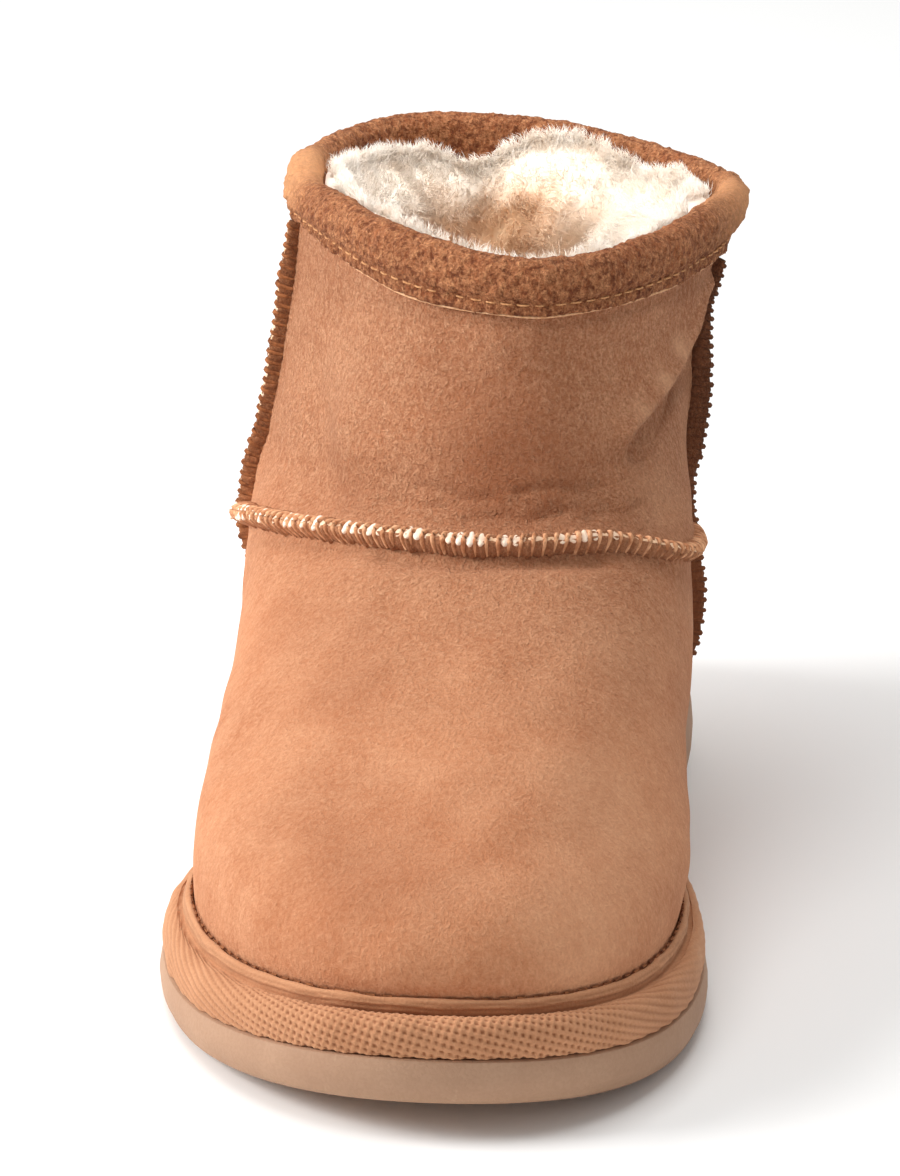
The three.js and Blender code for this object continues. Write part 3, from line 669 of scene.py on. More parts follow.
def suede_finish(name, dark, middle, light, speck, blotches=0.0):
    """Napped leather: soft clouds, strokes of the nap, fine grain, and for the binding blotches."""
    finish = Finish(name, 0.94, sheen=0.07)
    higher = finish.height(0.055, 0.085)
    rough = finish.times(finish.maths("ADD", 0.5, finish.times(0.5, higher)), speck)
    raised = finish.maths("ADD", 0.36, finish.times(0.64, higher))
    clouds = finish.patches(24, 3, 0.55, 0.32, 0.68)
    patches = finish.patches(85, 4, 0.65, 0.32, 0.7)
    nap_waves = finish.noise(800, 4, 0.7, stretch=(1.1, 1.1, 0.7))
    nap_grain = finish.noise(1700, 3, 0.72)
    strokes = finish.spread(nap_waves, 0.4, 0.7)
    grain = finish.spread(nap_grain, 0.34, 0.66)
    base = finish.mix(finish.times(finish.rest(clouds), 0.45), middle, dark)
    base = finish.mix(finish.times(patches, 0.3), base, light)
    base = finish.mix(finish.times(strokes, rough), base, light)
    grain_pits_and_painted_shade = finish.times(finish.rest(grain), rough)
    base = finish.mix(grain_pits_and_painted_shade, base, dark)
    # painted shade towards the dark colour where the field is above 0, painted light where it is below
    shaded = finish.field("shade")
    base = finish.mix(finish.spread(shaded, 0, 1), base, dark)
    base = finish.mix(finish.spread(shaded, 0, -1), base, light)
    if blotches:
        spots = finish.patches(620, 4, 0.72, 0.5, 0.62)
        worn = finish.field("worn")
        spots = finish.times(spots, finish.rest(finish.times(0.7, worn)))
        base = finish.mix(finish.times(spots, blotches), base, dark)
        base = finish.mix(finish.times(worn, 0.6), base, light)
    finish.colour(base)
    soft = finish.bump(finish.times(nap_waves, raised), NAP_WAVE_DEPTH)
    finish.bump(finish.times(nap_grain, raised), NAP_GRAIN_DEPTH, under=soft)
    return finish.material


SUEDE = suede_finish("suede", (148, 83, 49), (201, 134, 94), (241, 186, 145), speck=0.7)
SEAM_LEATHER = suede_finish("seam_leather", (108, 60, 34), (150, 90, 55), (196, 134, 92), speck=0.7)
# the seam leather made darker: painted shade for the inner seam, which lies in shadow
SEAM_LEATHER_PAINTED_SHADE = suede_finish("seam_leather_painted_shade", (80, 41, 22), (116, 66, 39), (156, 100, 66), speck=0.7)
INSTEP_LEATHER = suede_finish("instep_leather", (138, 82, 52), (184, 120, 82), (222, 164, 122), speck=0.6)
BINDING = suede_finish("binding", (104, 48, 22), (174, 98, 57), (250, 182, 128), speck=0.75, blotches=0.85)


def wool_finish():
    finish = Finish("wool", 1.0)
    # the field deep carries painted shade: the cream goes over to tan deep in the boot and in the seams
    deep = finish.field("deep")
    clumps = finish.patches(150, 3, 0.6, 0.3, 0.7)
    cream = finish.mix(clumps, (255, 240, 224), (255, 248, 238))
    finish.colour(finish.mix(deep, cream, (240, 198, 156)))
    finish.bump(finish.noise(700, 3, 0.6), 0.2, 0.6)
    return finish.material


FLEECE = wool_finish()


def plain_finish(name, dark, light, roughness, scale, depth):
    finish = Finish(name, roughness)
    speckle = finish.patches(scale, 3, 0.6, 0.35, 0.65)
    finish.colour(finish.mix(speckle, dark, light))
    finish.bump(speckle, depth, 0.6)
    return finish.material


DARK_THREAD = plain_finish("dark_thread", (104, 58, 33), (156, 98, 60), 0.9, 700, 0.1)
THREAD = plain_finish("thread", (180, 118, 80), (232, 178, 136), 0.85, 500, 0.1)
PALE_THREAD = plain_finish("pale_thread", (186, 126, 80), (222, 168, 118), 0.7, 2600, 0.05)
CUT_EDGE = plain_finish("cut_edge", (214, 158, 112), (242, 196, 154), 0.9, 1500, 0.08)


def foam_finish():
    finish = Finish("foam", 0.62)
    clouds = finish.patches(40, 3, 0.6, 0.3, 0.7)
    cells = finish.patches(1300, 2, 0.6, 0.4, 0.6)
    scuffs = finish.patches(180, 4, 0.7, 0.62, 0.72, stretch=(1.0, 1.0, 0.15))
    base = finish.mix(clouds, (170, 133, 107), (184, 148, 121))
    base = finish.mix(finish.times(scuffs, 0.35), base, (224, 194, 164))
    ground = finish.rest(finish.height(0.0005, 0.002))
    base = finish.mix(finish.times(ground, 0.5), base, (134, 92, 64))
    finish.colour(finish.mix(finish.times(cells, 0.15), base, (150, 112, 82)))
    finish.bump(cells, 0.06, 0.6)
    return finish.material


FOAM = foam_finish()


def tape_finish():
    """Woven tape: the ribs are in the mesh, and painted shade for the hollows between the threads in a
    field.
    """
    finish = Finish("tape", 0.82, sheen=0.15)
    grain_pits_and_painted_shade = finish.field("grain_pits_and_painted_shade")
    clouds = finish.patches(45, 3, 0.6, 0.3, 0.7)
    threads = finish.patches(1700, 2, 0.6, 0.35, 0.65)
    base = finish.mix(clouds, (180, 124, 87), (195, 139, 101))
    base = finish.mix(finish.times(threads, 0.3), base, (216, 162, 122))
    # painted shade where the field is high
    finish.colour(finish.mix(grain_pits_and_painted_shade, base, (128, 74, 44)))
    finish.bump(threads, 0.1, 0.6)
    return finish.material


TAPE = tape_finish()


# Outsole: a foam plate with a swelling side, lugs and grooves
# Its lower edge as (inward, up) in rounds of the edge, and its side as (share of the height, bulge)
SOLE_ROUND = ((1.5, 0), (1, 0), (0.62, 0.08), (0.3, 0.3), (0.08, 0.62), (0, 1))
SOLE_SIDE = ((0.35, 0.75), (0.6, 1), (0.85, 0.6), (0.96, 0.2))
SOLE_TOP_INSET = 0.4
TREADS = ((0.16, 0.44), (0.74, 0.93))  # where the cross grooves start and end, as shares from the toe
SOLE_POINTS = 288


def build_sole():
    turn = round_turns(SOLE_POINTS)
    levels = [(0, SOLE_EDGE_ROUND * inward, SOLE_EDGE_ROUND * up) for inward, up in SOLE_ROUND]
    levels += [(share, -SOLE_BULGE * bulge, 0) for share, bulge in SOLE_SIDE]
    levels.append((1, SOLE_TOP_INSET, 0))
    rings = []
    for share, inward, up in levels:
        x, y = plan_point(sole_plan(inward), turn)
        rings.append(np.stack([x, y, lerp(tread_height(y), outsole_top(y), share) + up], -1))
    sole = make_mesh("sole", rings, plate_faces(len(rings), SOLE_POINTS), FOAM)
    cutter = make_mesh("groove_cutter", *groove_boxes(), FOAM)
    cut = sole.modifiers.new("grooves", "BOOLEAN")
    cut.object = cutter
    cut.solver = "EXACT"
    graph = bpy.context.evaluated_depsgraph_get()
    sole.data = bpy.data.meshes.new_from_object(sole.evaluated_get(graph))
    sole.modifiers.clear()
    bpy.data.objects.remove(cutter)
    sole.data.set_sharp_from_angle(angle=math.radians(35))
    dress(sole, "outsole", "outsole")


def groove_boxes():
    """The cross grooves between the lugs, in the forefoot and in the heel."""
    points, faces = [], []
    corners = ((-1, -1), (1, -1), (1, 1), (-1, 1))
    box = np.array([(*corner, up) for up in (-1, 1) for corner in corners], float)
    sides = np.array([(0, 3, 2, 1), (4, 5, 6, 7), (0, 1, 5, 4), (1, 2, 6, 5), (2, 3, 7, 6), (3, 0, 4, 7)])
    for shares in TREADS:
        start, end = (lerp(TOE_END, HEEL_END, share) for share in shares)
        for i in range(int((end - start) // LUG_PITCH) + 1):
            y = start + i * LUG_PITCH
            ends = [plan_point(sole_plan(), turn_at(lambda t: plan_point(sole_plan(), t), y, side))[0]
                    for side in ("outer", "inner")]
            half = ((ends[1] - ends[0]) / 2 - TREAD_RIM, GROOVE_WIDTH / 2, GROOVE_DEPTH)
            middle = (float(ends[0] + ends[1]) / 2, y, float(tread_height(y)))
            faces.append(sides + 8 * len(points))
            points.append(box * half + middle)
    return np.concatenate(points), [np.concatenate(faces)]


# Welt: woven tape over foam, with a lip turned up the leather
RIB_PITCH = 1.6
RIB_TILT = 0.3
RIB_HEIGHT = 0.16
RIDGE_PITCH = 1.1  # the fine ridges along the lip
RIDGE_HEIGHT = 0.2
SLIT_DEPTH = 0.9  # where the lip turns up, at the toe
TAPE_WOBBLE = 0.12
TAPE_POINTS = 1200
TAPE_RINGS = 44
FOOT_RISE = INSTEP_HEIGHT - float(welt_top(0))


def welt_profile():
    """The tape's section from the sole's edge up and in to the lip, as (across, off, level, up)."""
    edge, lip = WELT_EDGE_ROUND, GAP + LIP_THICKNESS
    top, peak = WELT_HEIGHT, WELT_HEIGHT + LIP_HEIGHT
    lip_level = (LIP_HEIGHT - GAP) / FOOT_RISE
    outside = ((0.97, 0.0), (1.0, edge * 0.3), (1.025, top * 0.32), (1.02, top - edge * 1.2),
               (0.97, top - edge * 0.72), (0.88, top - edge * 0.34), (0.74, top - 0.3), (0.58, top))
    return [(across, 0, 0, up) for across, up in outside] + [
        (0, lip + 1.8, 0, top - 0.15),
        (0, lip + 0.7, 0, top - 0.3),
        (0, lip + 0.55, lip_level * 0.3, top + 0.5),
        (0, lip + 0.5, lip_level * 0.65, top + LIP_HEIGHT * 0.6),
        (0, lip - 0.1, lip_level * 0.95, peak - 0.45),
        (0, GAP + LIP_THICKNESS * 0.5, lip_level, peak),
        (0, GAP, lip_level * 0.95, peak - 0.4),
    ]


def welt_rings(turn):
    rings = []
    for across, off, level, up in welt_profile():
        ring = off_skin(turn, level, off)
        edge = np.stack(plan_point(sole_plan(), turn), -1)
        ring[:, :2] = lerp(ring[:, :2], edge, across)
        ring[:, 2] = outsole_top(ring[:, 1]) + GAP + up
        rings.append(ring)
    return np.array(rings)


def finer(rough, steps, fine):
    """Smooth rings at even places between rough ones."""
    i = np.clip(np.searchsorted(steps, fine) - 1, 0, len(steps) - 2)
    share = ((fine - steps[i]) / (steps[i + 1] - steps[i]))[:, None, None]
    before, after = rough[np.maximum(i - 1, 0)], rough[np.minimum(i + 2, len(rough) - 1)]
    here, there = rough[i], rough[i + 1]
    curve = here + share * (there - before) / 2 + share**2 * (before - 2.5 * here + 2 * there - after / 2)
    return curve + share**3 * (1.5 * here - before / 2 - 1.5 * there + after / 2)


def build_welt():
    turn = round_turns(TAPE_POINTS)
    rough = welt_rings(turn)
    steps = lengths(rough[:, 0])
    fine = np.linspace(0, steps[-1], TAPE_RINGS)
    curve = finer(rough, steps, fine)
    middle = curve[20]
    along = np.cumsum(np.linalg.norm(np.roll(middle, -1, 0) - middle, axis=-1))
    along = np.where(turn < 0.5, along, along - along[-1])
    # the ribs run at a small angle to the tape's edge, and the threads across them show at the toe
    across = fine[:, None]
    rib = np.cos(2 * np.pi * (across - along * RIB_TILT) / RIB_PITCH)
    cross = np.cos(2 * np.pi * (along + across * RIB_TILT) / RIB_PITCH)
    from_toe = np.minimum(turn, 1 - turn)[None]
    at_toe = 1 - smoothstep(from_toe, 0.05, 0.13)
    ribs_show = 1 - 0.75 * smoothstep(from_toe, 0.14, 0.24)
    # place counts the profile's points: 8 is where the flat top ends, 9 the lip's foot
    place = np.interp(fine, steps, np.arange(len(steps)))[:, None]
    on_top = 1 - smoothstep(place, 8.0, 8.8)
    on_lip = smoothstep(place, 9.3, 9.9) * (1 - smoothstep(place, 12.0, 12.6))
    low_rib = np.clip((0.25 - rib) / 1.25, 0, 1)
    low_cross = np.clip((0.35 - cross) / 1.35, 0, 1)
    # painted shade in the hollows of the weave
    grain_pits_and_painted_shade = low_rib * lerp(0.4, low_cross * 1.4, at_toe) * ribs_show * on_top
    ridges = np.cos(2 * np.pi * (across + 0.25 * ripples(middle, 12, 23)) / RIDGE_PITCH) * on_lip
    height = RIB_HEIGHT * (rib * ribs_show + 0.8 * cross * at_toe) * on_top + RIDGE_HEIGHT * ridges
    out = outward_of(curve)
    wobble = TAPE_WOBBLE * ripples(curve, 9, 21)
    slit = hump(place - 9.0, 0.7) * (1 - smoothstep(from_toe, 0.02, 0.1))
    # painted shade in the slit at the toe and between the lip's ridges
    groove = slit + 0.35 * np.clip(-ridges, 0, 1)
    curve = curve + out * (height + wobble)[..., None] - out * (SLIT_DEPTH * slit)[..., None]
    inner = [off_skin(turn, 0, off) for off in (GAP, -LINED, -LINED)]
    for ring, up in zip(inner, (WELT_HEIGHT, WELT_HEIGHT, 0.0)):
        ring[:, 2] = outsole_top(ring[:, 1]) + GAP + up
    rings = np.concatenate([curve, np.array(inner)])
    dark = np.concatenate([np.clip(grain_pits_and_painted_shade + groove, 0, 1), np.zeros((len(inner), TAPE_POINTS))])
    piece = ring_mesh("taped_welt", rings, TAPE, {"grain_pits_and_painted_shade": dark})
    dress(piece, "tape", "welt")


def build_lip_stitches():
    """Short dark stitches that hold the lip to the leather."""
    turns = stitch_turns(lambda t: on_skin(t, 0.05), samples=4001, pitch=3.4, length=2.0, points=5)
    lines = off_skin(turns, (LIP_HEIGHT + 0.5 * GAP) / FOOT_RISE, GAP + 0.25)
    dress(tubes("lip_stitches", lines, 0.26, DARK_THREAD, sides=4), "tape")


# Upper: the suede, one wall from the welt to the collar
def build_suede():
    turn = round_turns(440)
    levels = np.concatenate([np.linspace(0, 0.86, 62)[:-1], np.linspace(0.86, 1.28, 70)[:-1],
                             np.linspace(1.28, level_below(3), 18)])
    outside = off_skin(turn, levels[:, None], relief(turn, levels[:, None]))
    inside = off_skin(turn, levels[::-6, None], -WALL)
    # painted shade and painted light on the outside, none on the inside
    painted_shading = np.concatenate([shade(turn, levels[:, None]), np.zeros(inside.shape[:2])])
    piece = ring_mesh("suede_upper", np.concatenate([outside, inside]), SUEDE, {"shade": painted_shading})
    dress(piece, "suede", "upper")


# Raised seams: two cut edges with wool between them, and threads over the top
STITCH_PITCH = 2.15
STEPS_A_STITCH = 6
SUNK = 0.9  # how deep a seam's foot lies in the leather that rises to it
EDGE_SIDES = 16
WOOL_SIDES = 12
THREAD_STEPS = 13


def seam_frame(name):
    """Points along a seam, and the ways out, ahead and across, several to a stitch."""
    make, side, count = SEAM_PATHS[name]
    turns, levels = make(side, count)
    along = lengths(on_skin(turns, levels))
    stitches = int(along[-1] / STITCH_PITCH)
    places = np.linspace(0, along[-1], stitches * STEPS_A_STITCH + 1)
    turns, levels = np.interp(places, along, turns), np.interp(places, along, levels)
    foot = off_skin(turns, levels, relief(turns, levels) - SUNK)
    out = outward(turns, levels)
    ahead = unit(np.gradient(foot, axis=0))
    return foot, out, ahead, unit(np.cross(ahead, out)), stitches


def seam_section(foot, out, across, side, up):
    """Rings along a seam from mm across it and mm out of the leather."""
    return foot[:, None] + across[:, None] * side[..., None] + out[:, None] * up[..., None]


def build_seam(name, tall, thick, lean, leather, thread, taper, wool_share):
    """Lengths are in mm. taper is places along the seam and its height there, as a share, and
    wool_share is places and how much wool shows."""
    foot, out, ahead, across, stitches = seam_frame(name)
    droop = lean / tall
    steps = len(foot)
    share = np.linspace(0, 1, steps)
    beat = np.pi * share * stitches
    pinch = 0.5 - 0.5 * np.cos(2 * beat)
    rng = np.random.default_rng(len(name))
    marks_at = np.arange(stitches + 1)
    uneven = np.interp(share * stitches, marks_at, rng.uniform(0.85, 1.15, stitches + 1))
    size = np.interp(share, *taper)
    height = (tall + BED) * size * uneven**0.4
    half = thick / 2 * (1.0 - 0.2 * pinch) * uneven * lerp(0.55, 1.0, size)

    def rounded(angles, height, half):
        """The seam's round section, which leans towards its top."""
        up = np.sin(angles) ** 0.75
        side = np.cos(angles) * half[:, None] + droop * height[:, None] * up**2
        return side, up * (height[:, None] + SUNK)

    # the two lips, with a slit between them
    angles = np.linspace(0.02, np.pi - 0.02, EDGE_SIDES)
    side, up = rounded(angles, height * (1 - 0.08 * pinch), half)
    up = up - 0.16 * hump(angles - np.pi / 2, 0.4) * height[:, None]
    rings = seam_section(foot, out, across, side, up)
    rings = rings + 0.12 * ripples(rings, 1.6, 31)[..., None] * out[:, None]
    dress(make_mesh(name + "_edges", rings, rod_faces(steps, EDGE_SIDES), leather), "seam", name)

    # the wool that swells a little between the threads, whiter where there is more of it; painted shade
    # makes the rest tan
    amount = np.interp(share * stitches, marks_at, rng.uniform(0.05, 1.0, stitches + 1) ** 1.4)
    amount = np.clip(amount * np.interp(share, *wool_share), 0, 1)
    swell = np.abs(np.cos(beat)) ** 1.5 * amount
    angles = round_turns(WOOL_SIDES) * 2 * np.pi
    side = np.cos(angles) * (0.15 + 0.72 * half * swell**0.5)[:, None] + droop * height[:, None]
    up = np.sin(angles) * (0.15 + 0.5 * swell)[:, None] + (height * 0.82 + SUNK)[:, None]
    rings = seam_section(foot, out, across, side, up)
    rings = rings + 0.16 * ripples(rings, 0.9, 33)[..., None] * out[:, None]
    deep = {"deep": np.repeat(1.0 - 0.65 * amount, WOOL_SIDES)}
    dress(make_mesh(name + "_wool", rings, rod_faces(steps, WOOL_SIDES), FLEECE, deep), "fleece")

    # the threads, each over the top from one foot of the seam to the other, a little slanted
    marks = np.arange(stitches) * STEPS_A_STITCH + STEPS_A_STITCH // 2
    way = np.linspace(-1, 1, THREAD_STEPS)
    angles = np.linspace(0.04, np.pi - 0.04, THREAD_STEPS)
    side, up = rounded(angles, height[marks] - 0.1, half[marks] - 0.1)
    line = seam_section(foot[marks], out[marks], across[marks], side, up)
    slant = rng.uniform(0.2, 0.8, (stitches, 1)) * way
    line = line + ahead[marks][:, None] * slant[..., None]
    radius = rng.uniform(0.46, 0.64, (stitches, 1)) * (1 - 0.3 * np.abs(way) ** 3)
    radius = radius * lerp(0.6, 1.0, size[marks])[:, None]
    dress(tubes(name + "_thread", line, radius, thread, sides=6), "seam")


# Collar binding: a rough strip folded over the edge
BINDING_POINTS = 760
BINDING_RINGS = 58  # on the strip's visible faces
CUT_EDGE_POINTS = 600


def binding_profile():
    """The strip's section as (depth, off): up the outside, over, down inside and back up."""
    near, far = GAP, GAP + BINDING_THICKNESS
    foot, roll = BINDING_OUTSIDE, BINDING_ROLL
    inner_face, inner_back = -WALL - far, -WALL - near
    return np.array([
        (foot - 0.1, near - 0.2), (foot, far - 0.9), (foot - 0.3, far - 0.3), (foot - 1.6, far - 0.1),
        (foot - 2.8, far - 0.35), (foot - 4.2, far + 0.25), (5.0, far + 0.75), (2.5, far + 0.8),
        (0.0, far + 0.55), (-roll * 0.5, far - 0.2), (-roll * 0.85, far - 1.5), (-roll, -WALL / 2),
        (-roll * 0.85, inner_face + 1.5), (-roll * 0.45, inner_face + 0.35), (0.0, inner_face),
        (5.0, inner_face), (10.0, inner_face), (BINDING_INSIDE, inner_face),
        (BINDING_INSIDE, inner_back), (5.0, inner_back), (-GAP, inner_back),
        (-GAP, near - 0.2), (5.0, near - 0.2),
    ])


def on_binding(turn, depth, off):
    """The strip is narrower at the outer side and the front, and its corner there stands higher."""
    around = turn - np.floor(turn)
    out_side = smoothstep(off, -WALL, 0)
    narrower = 1 - binding_foot(turn) / BINDING_OUTSIDE
    front = 1.2 * hump(turn - np.floor(turn + 0.5) + 0.01, 0.14) * smoothstep(depth, 2, 9)
    corner = 2.0 * hump(around - 0.315, 0.07) * (1 - smoothstep(depth, 0, 5))
    lift = out_side * (np.maximum(depth, 0) * narrower + front) + corner
    shift = relief(turn, level_below(np.maximum(depth, 0)))
    overlap = 0.7 * smoothstep(turn, 0.285, 0.29) * (1 - smoothstep(turn, 0.32, 0.36))
    return off_collar(turn, depth - lift, off + shift + overlap * out_side)


def build_binding():
    turn = round_turns(BINDING_POINTS)
    rough = binding_profile()
    steps = lengths(rough)
    outer_end = steps[16]
    fine = np.concatenate([np.linspace(0, outer_end, BINDING_RINGS), steps[17:]])
    depth, off = (np.interp(fine, steps, rough[:, k])[:, None] for k in (0, 1))
    rings = on_binding(turn[None], depth, off)
    out = outward_of(rings)
    nap = layers(rings, NAP_RIPPLES) * (fine < outer_end)[:, None]
    corners = hump(turn - 0.3, 0.09) + 0.9 * hump(turn - 0.79, 0.1)
    worn = np.clip(corners, 0, 1) * (1 - smoothstep(depth, 3, 9)) * (fine < outer_end * 0.75)[:, None]
    piece = ring_mesh("binding", rings + out * nap[..., None], BINDING, {"worn": worn})
    dress(piece, "binding", "collar_binding")


def build_cut_edge():
    """The light cut edge along the strip's foot."""
    turn = round_turns(CUT_EDGE_POINTS)
    angles = round_turns(8)[:, None] * 2 * np.pi
    depth = BINDING_OUTSIDE + 0.05 + 0.3 * np.cos(angles)
    off = GAP + 0.6 + 0.4 * np.sin(angles)
    wander = 0.25 * ripples(on_skin(turn, TOP), 16, 44)
    rings = on_binding(turn[None], depth + wander, off)
    dress(ring_mesh("binding_cut_edge", rings, CUT_EDGE), "binding")


def build_binding_stitches():
    row = BINDING_OUTSIDE - 2.7
    turns = stitch_turns(lambda t: off_collar(t, row, 2), samples=3001, pitch=3.5, length=2.5, points=6)
    sunk = GAP + BINDING_THICKNESS - 0.35 + 0.3 * np.array([-0.8, 0.3, 0.7, 0.7, 0.3, -0.8])
    lines = on_binding(turns, BINDING_OUTSIDE - 2.75, np.broadcast_to(sunk, turns.shape))
    dress(tubes("binding_stitches", lines, 0.24, PALE_THREAD, sides=5), "binding")


# Wool: a clumped body, and fine curled hairs on it
WOOL_CREST = 2.2  # how far below the wool's upper edge its inner face starts
WOOL_FOLD = 3.1  # and how far below it the wool turns down behind that face
WOOL_BEND = 44  # the depth where the face goes over from the collar's form to the foot's
WOOL_POINTS = 300
SHAFT_MIDDLE = (0, 56, 0)

# The hairs round the mouth: turns from and to, the deepest root in mm, and how many
HAIRS = {
    "wool_hairs_front": (-0.22, 0.22, 16, 5500),
    "wool_hairs_outer": (0.22, 0.42, 30, 5500),
    "wool_hairs_back": (0.42, 0.62, 38, 7000),
    "wool_hairs_inner": (0.62, 0.78, 36, 5500),
}
HAIR_TOP = -0.6  # the highest roots, above the face's upper edge
HAIR_LENGTH = (2.6, 5.2)
HAIR_WIDTH = 0.09
HAIR_CURL = 0.55
LOCK_SIZE = 5.0


def wool_column(turn, column):
    return np.interp(turn - np.floor(turn), WOOL[:, 0], WOOL[:, column])


def wool_painted_shade(turn, depth):
    """Painted shade on the wool: 0 where it is lit to 1 where it lies deep in the boot and is painted tan.
    """
    around = turn - np.floor(turn)
    middle = smoothstep(depth, 3, 15) * hump(around - 0.555, 0.14)
    side = 0.5 * smoothstep(depth, 7, 18) * hump(around - 0.41, 0.1)
    return np.clip(0.9 * middle + side + 0.9 * smoothstep(depth, 26, 70), 0, 1)


def wool_face(turn, depth):
    """The wool's inner face: a place by turn and depth below its own upper edge."""
    below = wool_column(turn, 1) + WOOL_CREST + depth
    edge = smoothstep(depth, 0.0, 11.0)
    swell = wool_column(turn, 2) * (1 - smoothstep(depth, 22, 50)) * lerp(0.35, 1.0, edge)
    inward = lerp(STRIP_FACE + 2.4, LINED + 2.5, edge) + swell
    upper = off_collar(turn, np.minimum(below, WOOL_BEND), -inward)
    lower = off_skin(turn, np.clip(1 - (below - WOOL_BEND) / 60, 0, 1), -inward)
    point = lerp(upper, lower, smoothstep(below, WOOL_BEND - 4, WOOL_BEND + 3)[..., None])
    out = unit((point - SHAFT_MIDDLE) * (1, 1, 0))
    return point - out * layers(point, WOOL_RIPPLES)[..., None], -out


def build_wool():
    turn = round_turns(WOOL_POINTS)
    depths = np.concatenate([[0.0, 0.8, 1.8, 3.0], np.linspace(4.5, 102, 46)])[:, None]
    face, _ = wool_face(*together(turn, depths))
    strip = [off_collar(turn, depth, -STRIP_FACE)
             for depth in (BINDING_INSIDE + GAP, wool_column(turn, 1) + WOOL_FOLD)]
    levels = np.linspace(0, level_below(BINDING_INSIDE + 4), 26)[:, None]
    behind = off_skin(turn, levels, -WALL - GAP - 1.5 + relief(turn, levels))
    hidden = np.concatenate([behind, strip])
    # painted shade: none on the hidden faces, and tan deeper in the mouth
    deep = np.concatenate([np.zeros(hidden.shape[:2]), wool_painted_shade(turn, depths)])
    piece = ring_mesh("wool", np.concatenate([hidden, face]), FLEECE, {"deep": deep})
    dress(piece, "fleece", "fleece")


def fibres(name, roots, ways, reach, seed, painted_shading):
    """Fine curled hairs, three-sided, that end in a point."""
    rng = np.random.default_rng(seed)
    number = len(roots)
    side, over = sides_of(ways)
    phase = rng.uniform(0, 2 * np.pi, (number, 1))
    pace = rng.uniform(2.5, 5.5, (number, 1))
    steps = np.array([0.0, 0.36, 0.7, 1.0])
    swing = phase + pace * steps
    away = (np.cos(swing) - np.cos(phase))[..., None] * side[:, None]
    away = away - (np.sin(swing) - np.sin(phase))[..., None] * over[:, None]
    line = roots[:, None] + ways[:, None] * (reach[:, None] * steps)[..., None] + away * HAIR_CURL
    angles = round_turns(3) * 2 * np.pi
    ring = side[:, None] * np.cos(angles)[:, None] - over[:, None] * np.sin(angles)[:, None]
    widths = HAIR_WIDTH * np.array([1.0, 0.95, 0.7])
    body = line[:, :3, None] + ring[:, None] * widths[:, None, None]
    points = np.concatenate([body.reshape(number, 9, 3), line[:, 3:]], axis=1)
    base = (np.arange(number) * 10)[:, None, None]
    walls = (grid(3, 3) + base).reshape(-1, 4)[:, ::-1]
    tips = (np.array([(6, 7, 9), (7, 8, 9), (8, 6, 9)]) + base).reshape(-1, 3)
    feet = (np.array([(2, 1, 0)]) + base).reshape(-1, 3)
    return make_mesh(name, points, [walls, tips, feet], FLEECE, {"deep": np.repeat(painted_shading, 10)})


def build_hairs():
    """Hairs in locks, which lean together towards their tips."""
    rng = np.random.default_rng(61)
    for i, (name, (start, end, deepest, number)) in enumerate(HAIRS.items()):
        turn = rng.uniform(start, end, number)
        depth = lerp(HAIR_TOP, deepest, rng.uniform(0, 1, number) ** 2.4)
        root, inward = wool_face(turn, np.maximum(depth, 0.0))
        root[:, 2] += np.maximum(-depth, 0)
        near_edge = 1 - smoothstep(depth, 0, 9)
        lock = np.stack([ripples(root, LOCK_SIZE, seed) for seed in (72, 73, 71)], -1)
        way = inward * lerp(0.9, 0.1, near_edge)[:, None]
        way = way + lerp(0.35, 1.0, near_edge)[:, None] * (0, 0, 1)
        way = unit(way + 0.42 * lock + 0.25 * rng.normal(size=(number, 3)))
        reach = rng.uniform(*HAIR_LENGTH, number) * lerp(1.0, 0.85, near_edge)
        # each hair takes the painted shade of the wool at its root
        hairs = fibres(name, root - way * 0.8, way, reach, seed=80 + i, painted_shading=wool_painted_shade(turn, depth))
        dress(hairs, "fleece")


# The footbed's edge from below: inward in mm, up in crowns, and whether off the welt's top
FOOTBED_EDGE = ((0, 0, False), (0, -2, True), (1.2, -1, True), (7, 0, True))
FOOTBED_SPINE = 40  # the middle line ends this far from toe and heel
FOOTBED_POINTS = 160


def build_footbed():
    """The wool footbed, crowned and clumped, inside the welt."""
    turn = round_turns(FOOTBED_POINTS)
    rings = []
    for inward, up, from_top in FOOTBED_EDGE:
        ring = off_skin(turn, 0, -LINED - GAP - inward)
        floor = welt_top(ring[:, 1]) + INSOLE_RISE if from_top else outsole_top(ring[:, 1]) + GAP
        ring[:, 2] = floor + INSOLE_CROWN * up
        rings.append(ring)
    edge = rings[-1]
    spine = edge.copy()
    spine[:, 0] = TOE_LEAN * np.clip(-spine[:, 1] / LENGTH * 2, 0, 1)
    towards_toe = 1 - (1 - np.cos(turn * 2 * np.pi)) / 2
    middle_y = lerp(FOOT_BACK - FOOTBED_SPINE, FOOT_FRONT + FOOTBED_SPINE, towards_toe)
    for share in (0.2, 0.4, 0.6, 0.8, 0.96):
        ring = lerp(edge, spine, share)
        ring[:, 1] = lerp(edge[:, 1], middle_y, share * 0.3)
        ring[:, 2] += layers(ring, FOOTBED_RIPPLES)
        rings.append(ring)
    # painted shade at 0.55 all over, as the footbed lies deep in the boot
    deep = {"deep": np.full(len(rings) * FOOTBED_POINTS, 0.55)}
    piece = make_mesh("footbed_wool", rings, plate_faces(len(rings), FOOTBED_POINTS), FLEECE, deep)
    dress(piece, "footbed", "insole")


# Stage: camera, floor and soft studio light
MIDDLE = (0.0, 0.0, 0.06)
MOUTH = (-0.018, 0.095, 0.12)

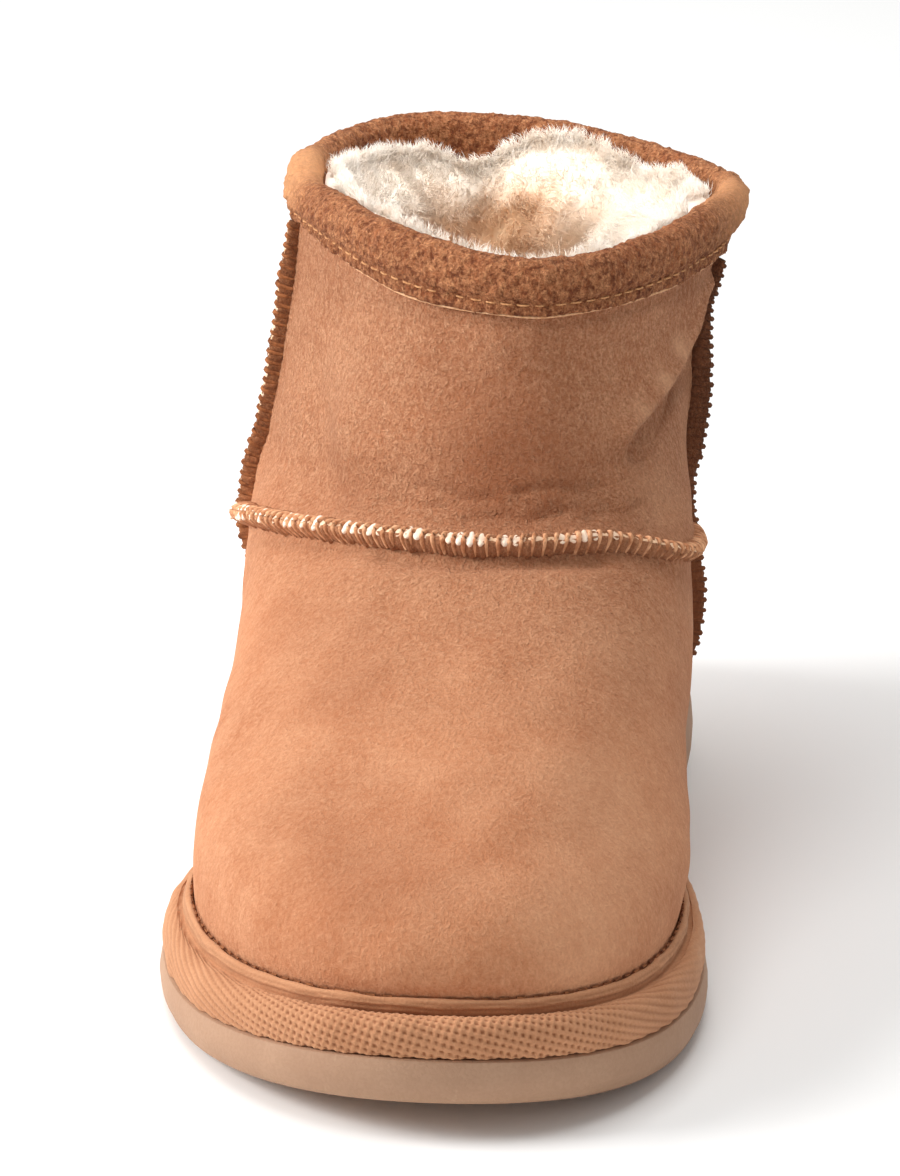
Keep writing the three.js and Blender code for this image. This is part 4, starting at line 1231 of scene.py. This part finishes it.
# The lamps in metres and watts: place, aim, power, and an area light's size or a spot's cone in degrees
LAMPS = {
    "key": ((-1.45, -0.15, 0.85), MIDDLE, 29.5, "AREA", 0.8),
    "fill": ((0.9, -1.3, 0.7), MIDDLE, 1.2, "AREA", 1.2),
    "top": ((-0.1, 0.05, 1.6), MIDDLE, 14, "AREA", 1.1),
    "into_the_mouth": ((0.16, -0.3, 1.0), MOUTH, 58, "SPOT", 7.6),
}


def put(name, data, at, look):
    """A camera or light at a place in metres, turned to look along a vector."""
    placed = bpy.data.objects.new(name, data)
    placed.location = at
    placed.rotation_euler = look.to_track_quat("-Z", "Y").to_euler()
    bpy.context.scene.collection.objects.link(placed)
    return placed


def build_stage():
    lens = bpy.data.cameras.new("camera")
    lens.lens = LENS
    lens.clip_start = 0.05
    lens.clip_end = 50
    camera = put("camera", lens, Vector(CAMERA) / 1000, Vector(AIM) - Vector(CAMERA))
    bpy.context.scene.camera = camera

    floor_finish = Finish("floor", 0.9)
    floor_finish.colour(floor_finish.mix(floor_finish.noise(3), (250, 250, 249), (252, 252, 251)))
    bpy.ops.mesh.primitive_plane_add(size=12, location=(0, 0, 0))
    floor = bpy.context.object
    floor.name = "floor"
    floor.data.materials.append(floor_finish.material)

    world = bpy.data.worlds.new("studio")
    world.use_nodes = True
    nodes, links = world.node_tree.nodes, world.node_tree.links
    background = nodes["Background"]
    background.inputs["Color"].default_value = linear(252, 252, 252)
    strength = nodes.new("ShaderNodeMapRange")
    strength.inputs["To Min"].default_value = SKY_LIGHT
    strength.inputs["To Max"].default_value = 1.0
    links.new(nodes.new("ShaderNodeLightPath").outputs["Is Camera Ray"], strength.inputs["Value"])
    links.new(strength.outputs["Result"], background.inputs["Strength"])
    bpy.context.scene.world = world
    bpy.context.scene.view_settings.view_transform = "Standard"

    for name, (at, to, watts, kind, size) in LAMPS.items():
        light = bpy.data.lights.new(name, kind)
        light.energy = watts
        if kind == "SPOT":
            light.spot_size = math.radians(size)
            light.spot_blend = 0.7
            light.shadow_soft_size = 0.08
        else:
            light.size = size
        put(name, light, at, Vector(to) - Vector(at))


build_stage()
build_sole()
build_welt()
build_lip_stitches()
build_suede()
build_seam("seam_outer", SIDE_SEAM_HEIGHT, SEAM_THICKNESS, 0.0, SEAM_LEATHER, DARK_THREAD,
           ((0, 0.9, 1), (1.0, 0.95, 0.7)),
           ((0, 0.55, 0.62, 0.8, 0.88, 1), (0.1, 0.2, 1.0, 1.0, 0.2, 0.15)))
# the inner seam's edges and threads take the seam leather with painted shade
build_seam("seam_inner", SIDE_SEAM_HEIGHT, SEAM_THICKNESS, 0.0, SEAM_LEATHER_PAINTED_SHADE, SEAM_LEATHER_PAINTED_SHADE,
           ((0, 0.4, 0.6, 0.85, 1), (1.0, 1.1, 1.45, 1.2, 0.8)), ((0, 1), (0.05, 0.05)))
build_seam("seam_instep", INSTEP_SEAM_HEIGHT, SEAM_THICKNESS * 1.5, INSTEP_SEAM_LEAN * 0.25,
           INSTEP_LEATHER, THREAD,
           ((0, 0.03, 0.1, 0.62, 0.74, 1), (0.3, 0.65, 1.0, 0.9, 0.6, 0.3)),
           ((0, 0.42, 0.5, 0.6, 0.68, 1), (2.0, 2.2, 1.3, 0.9, 0.45, 0.35)))
build_binding()
build_cut_edge()
build_binding_stitches()
build_wool()
build_hairs()
build_footbed()
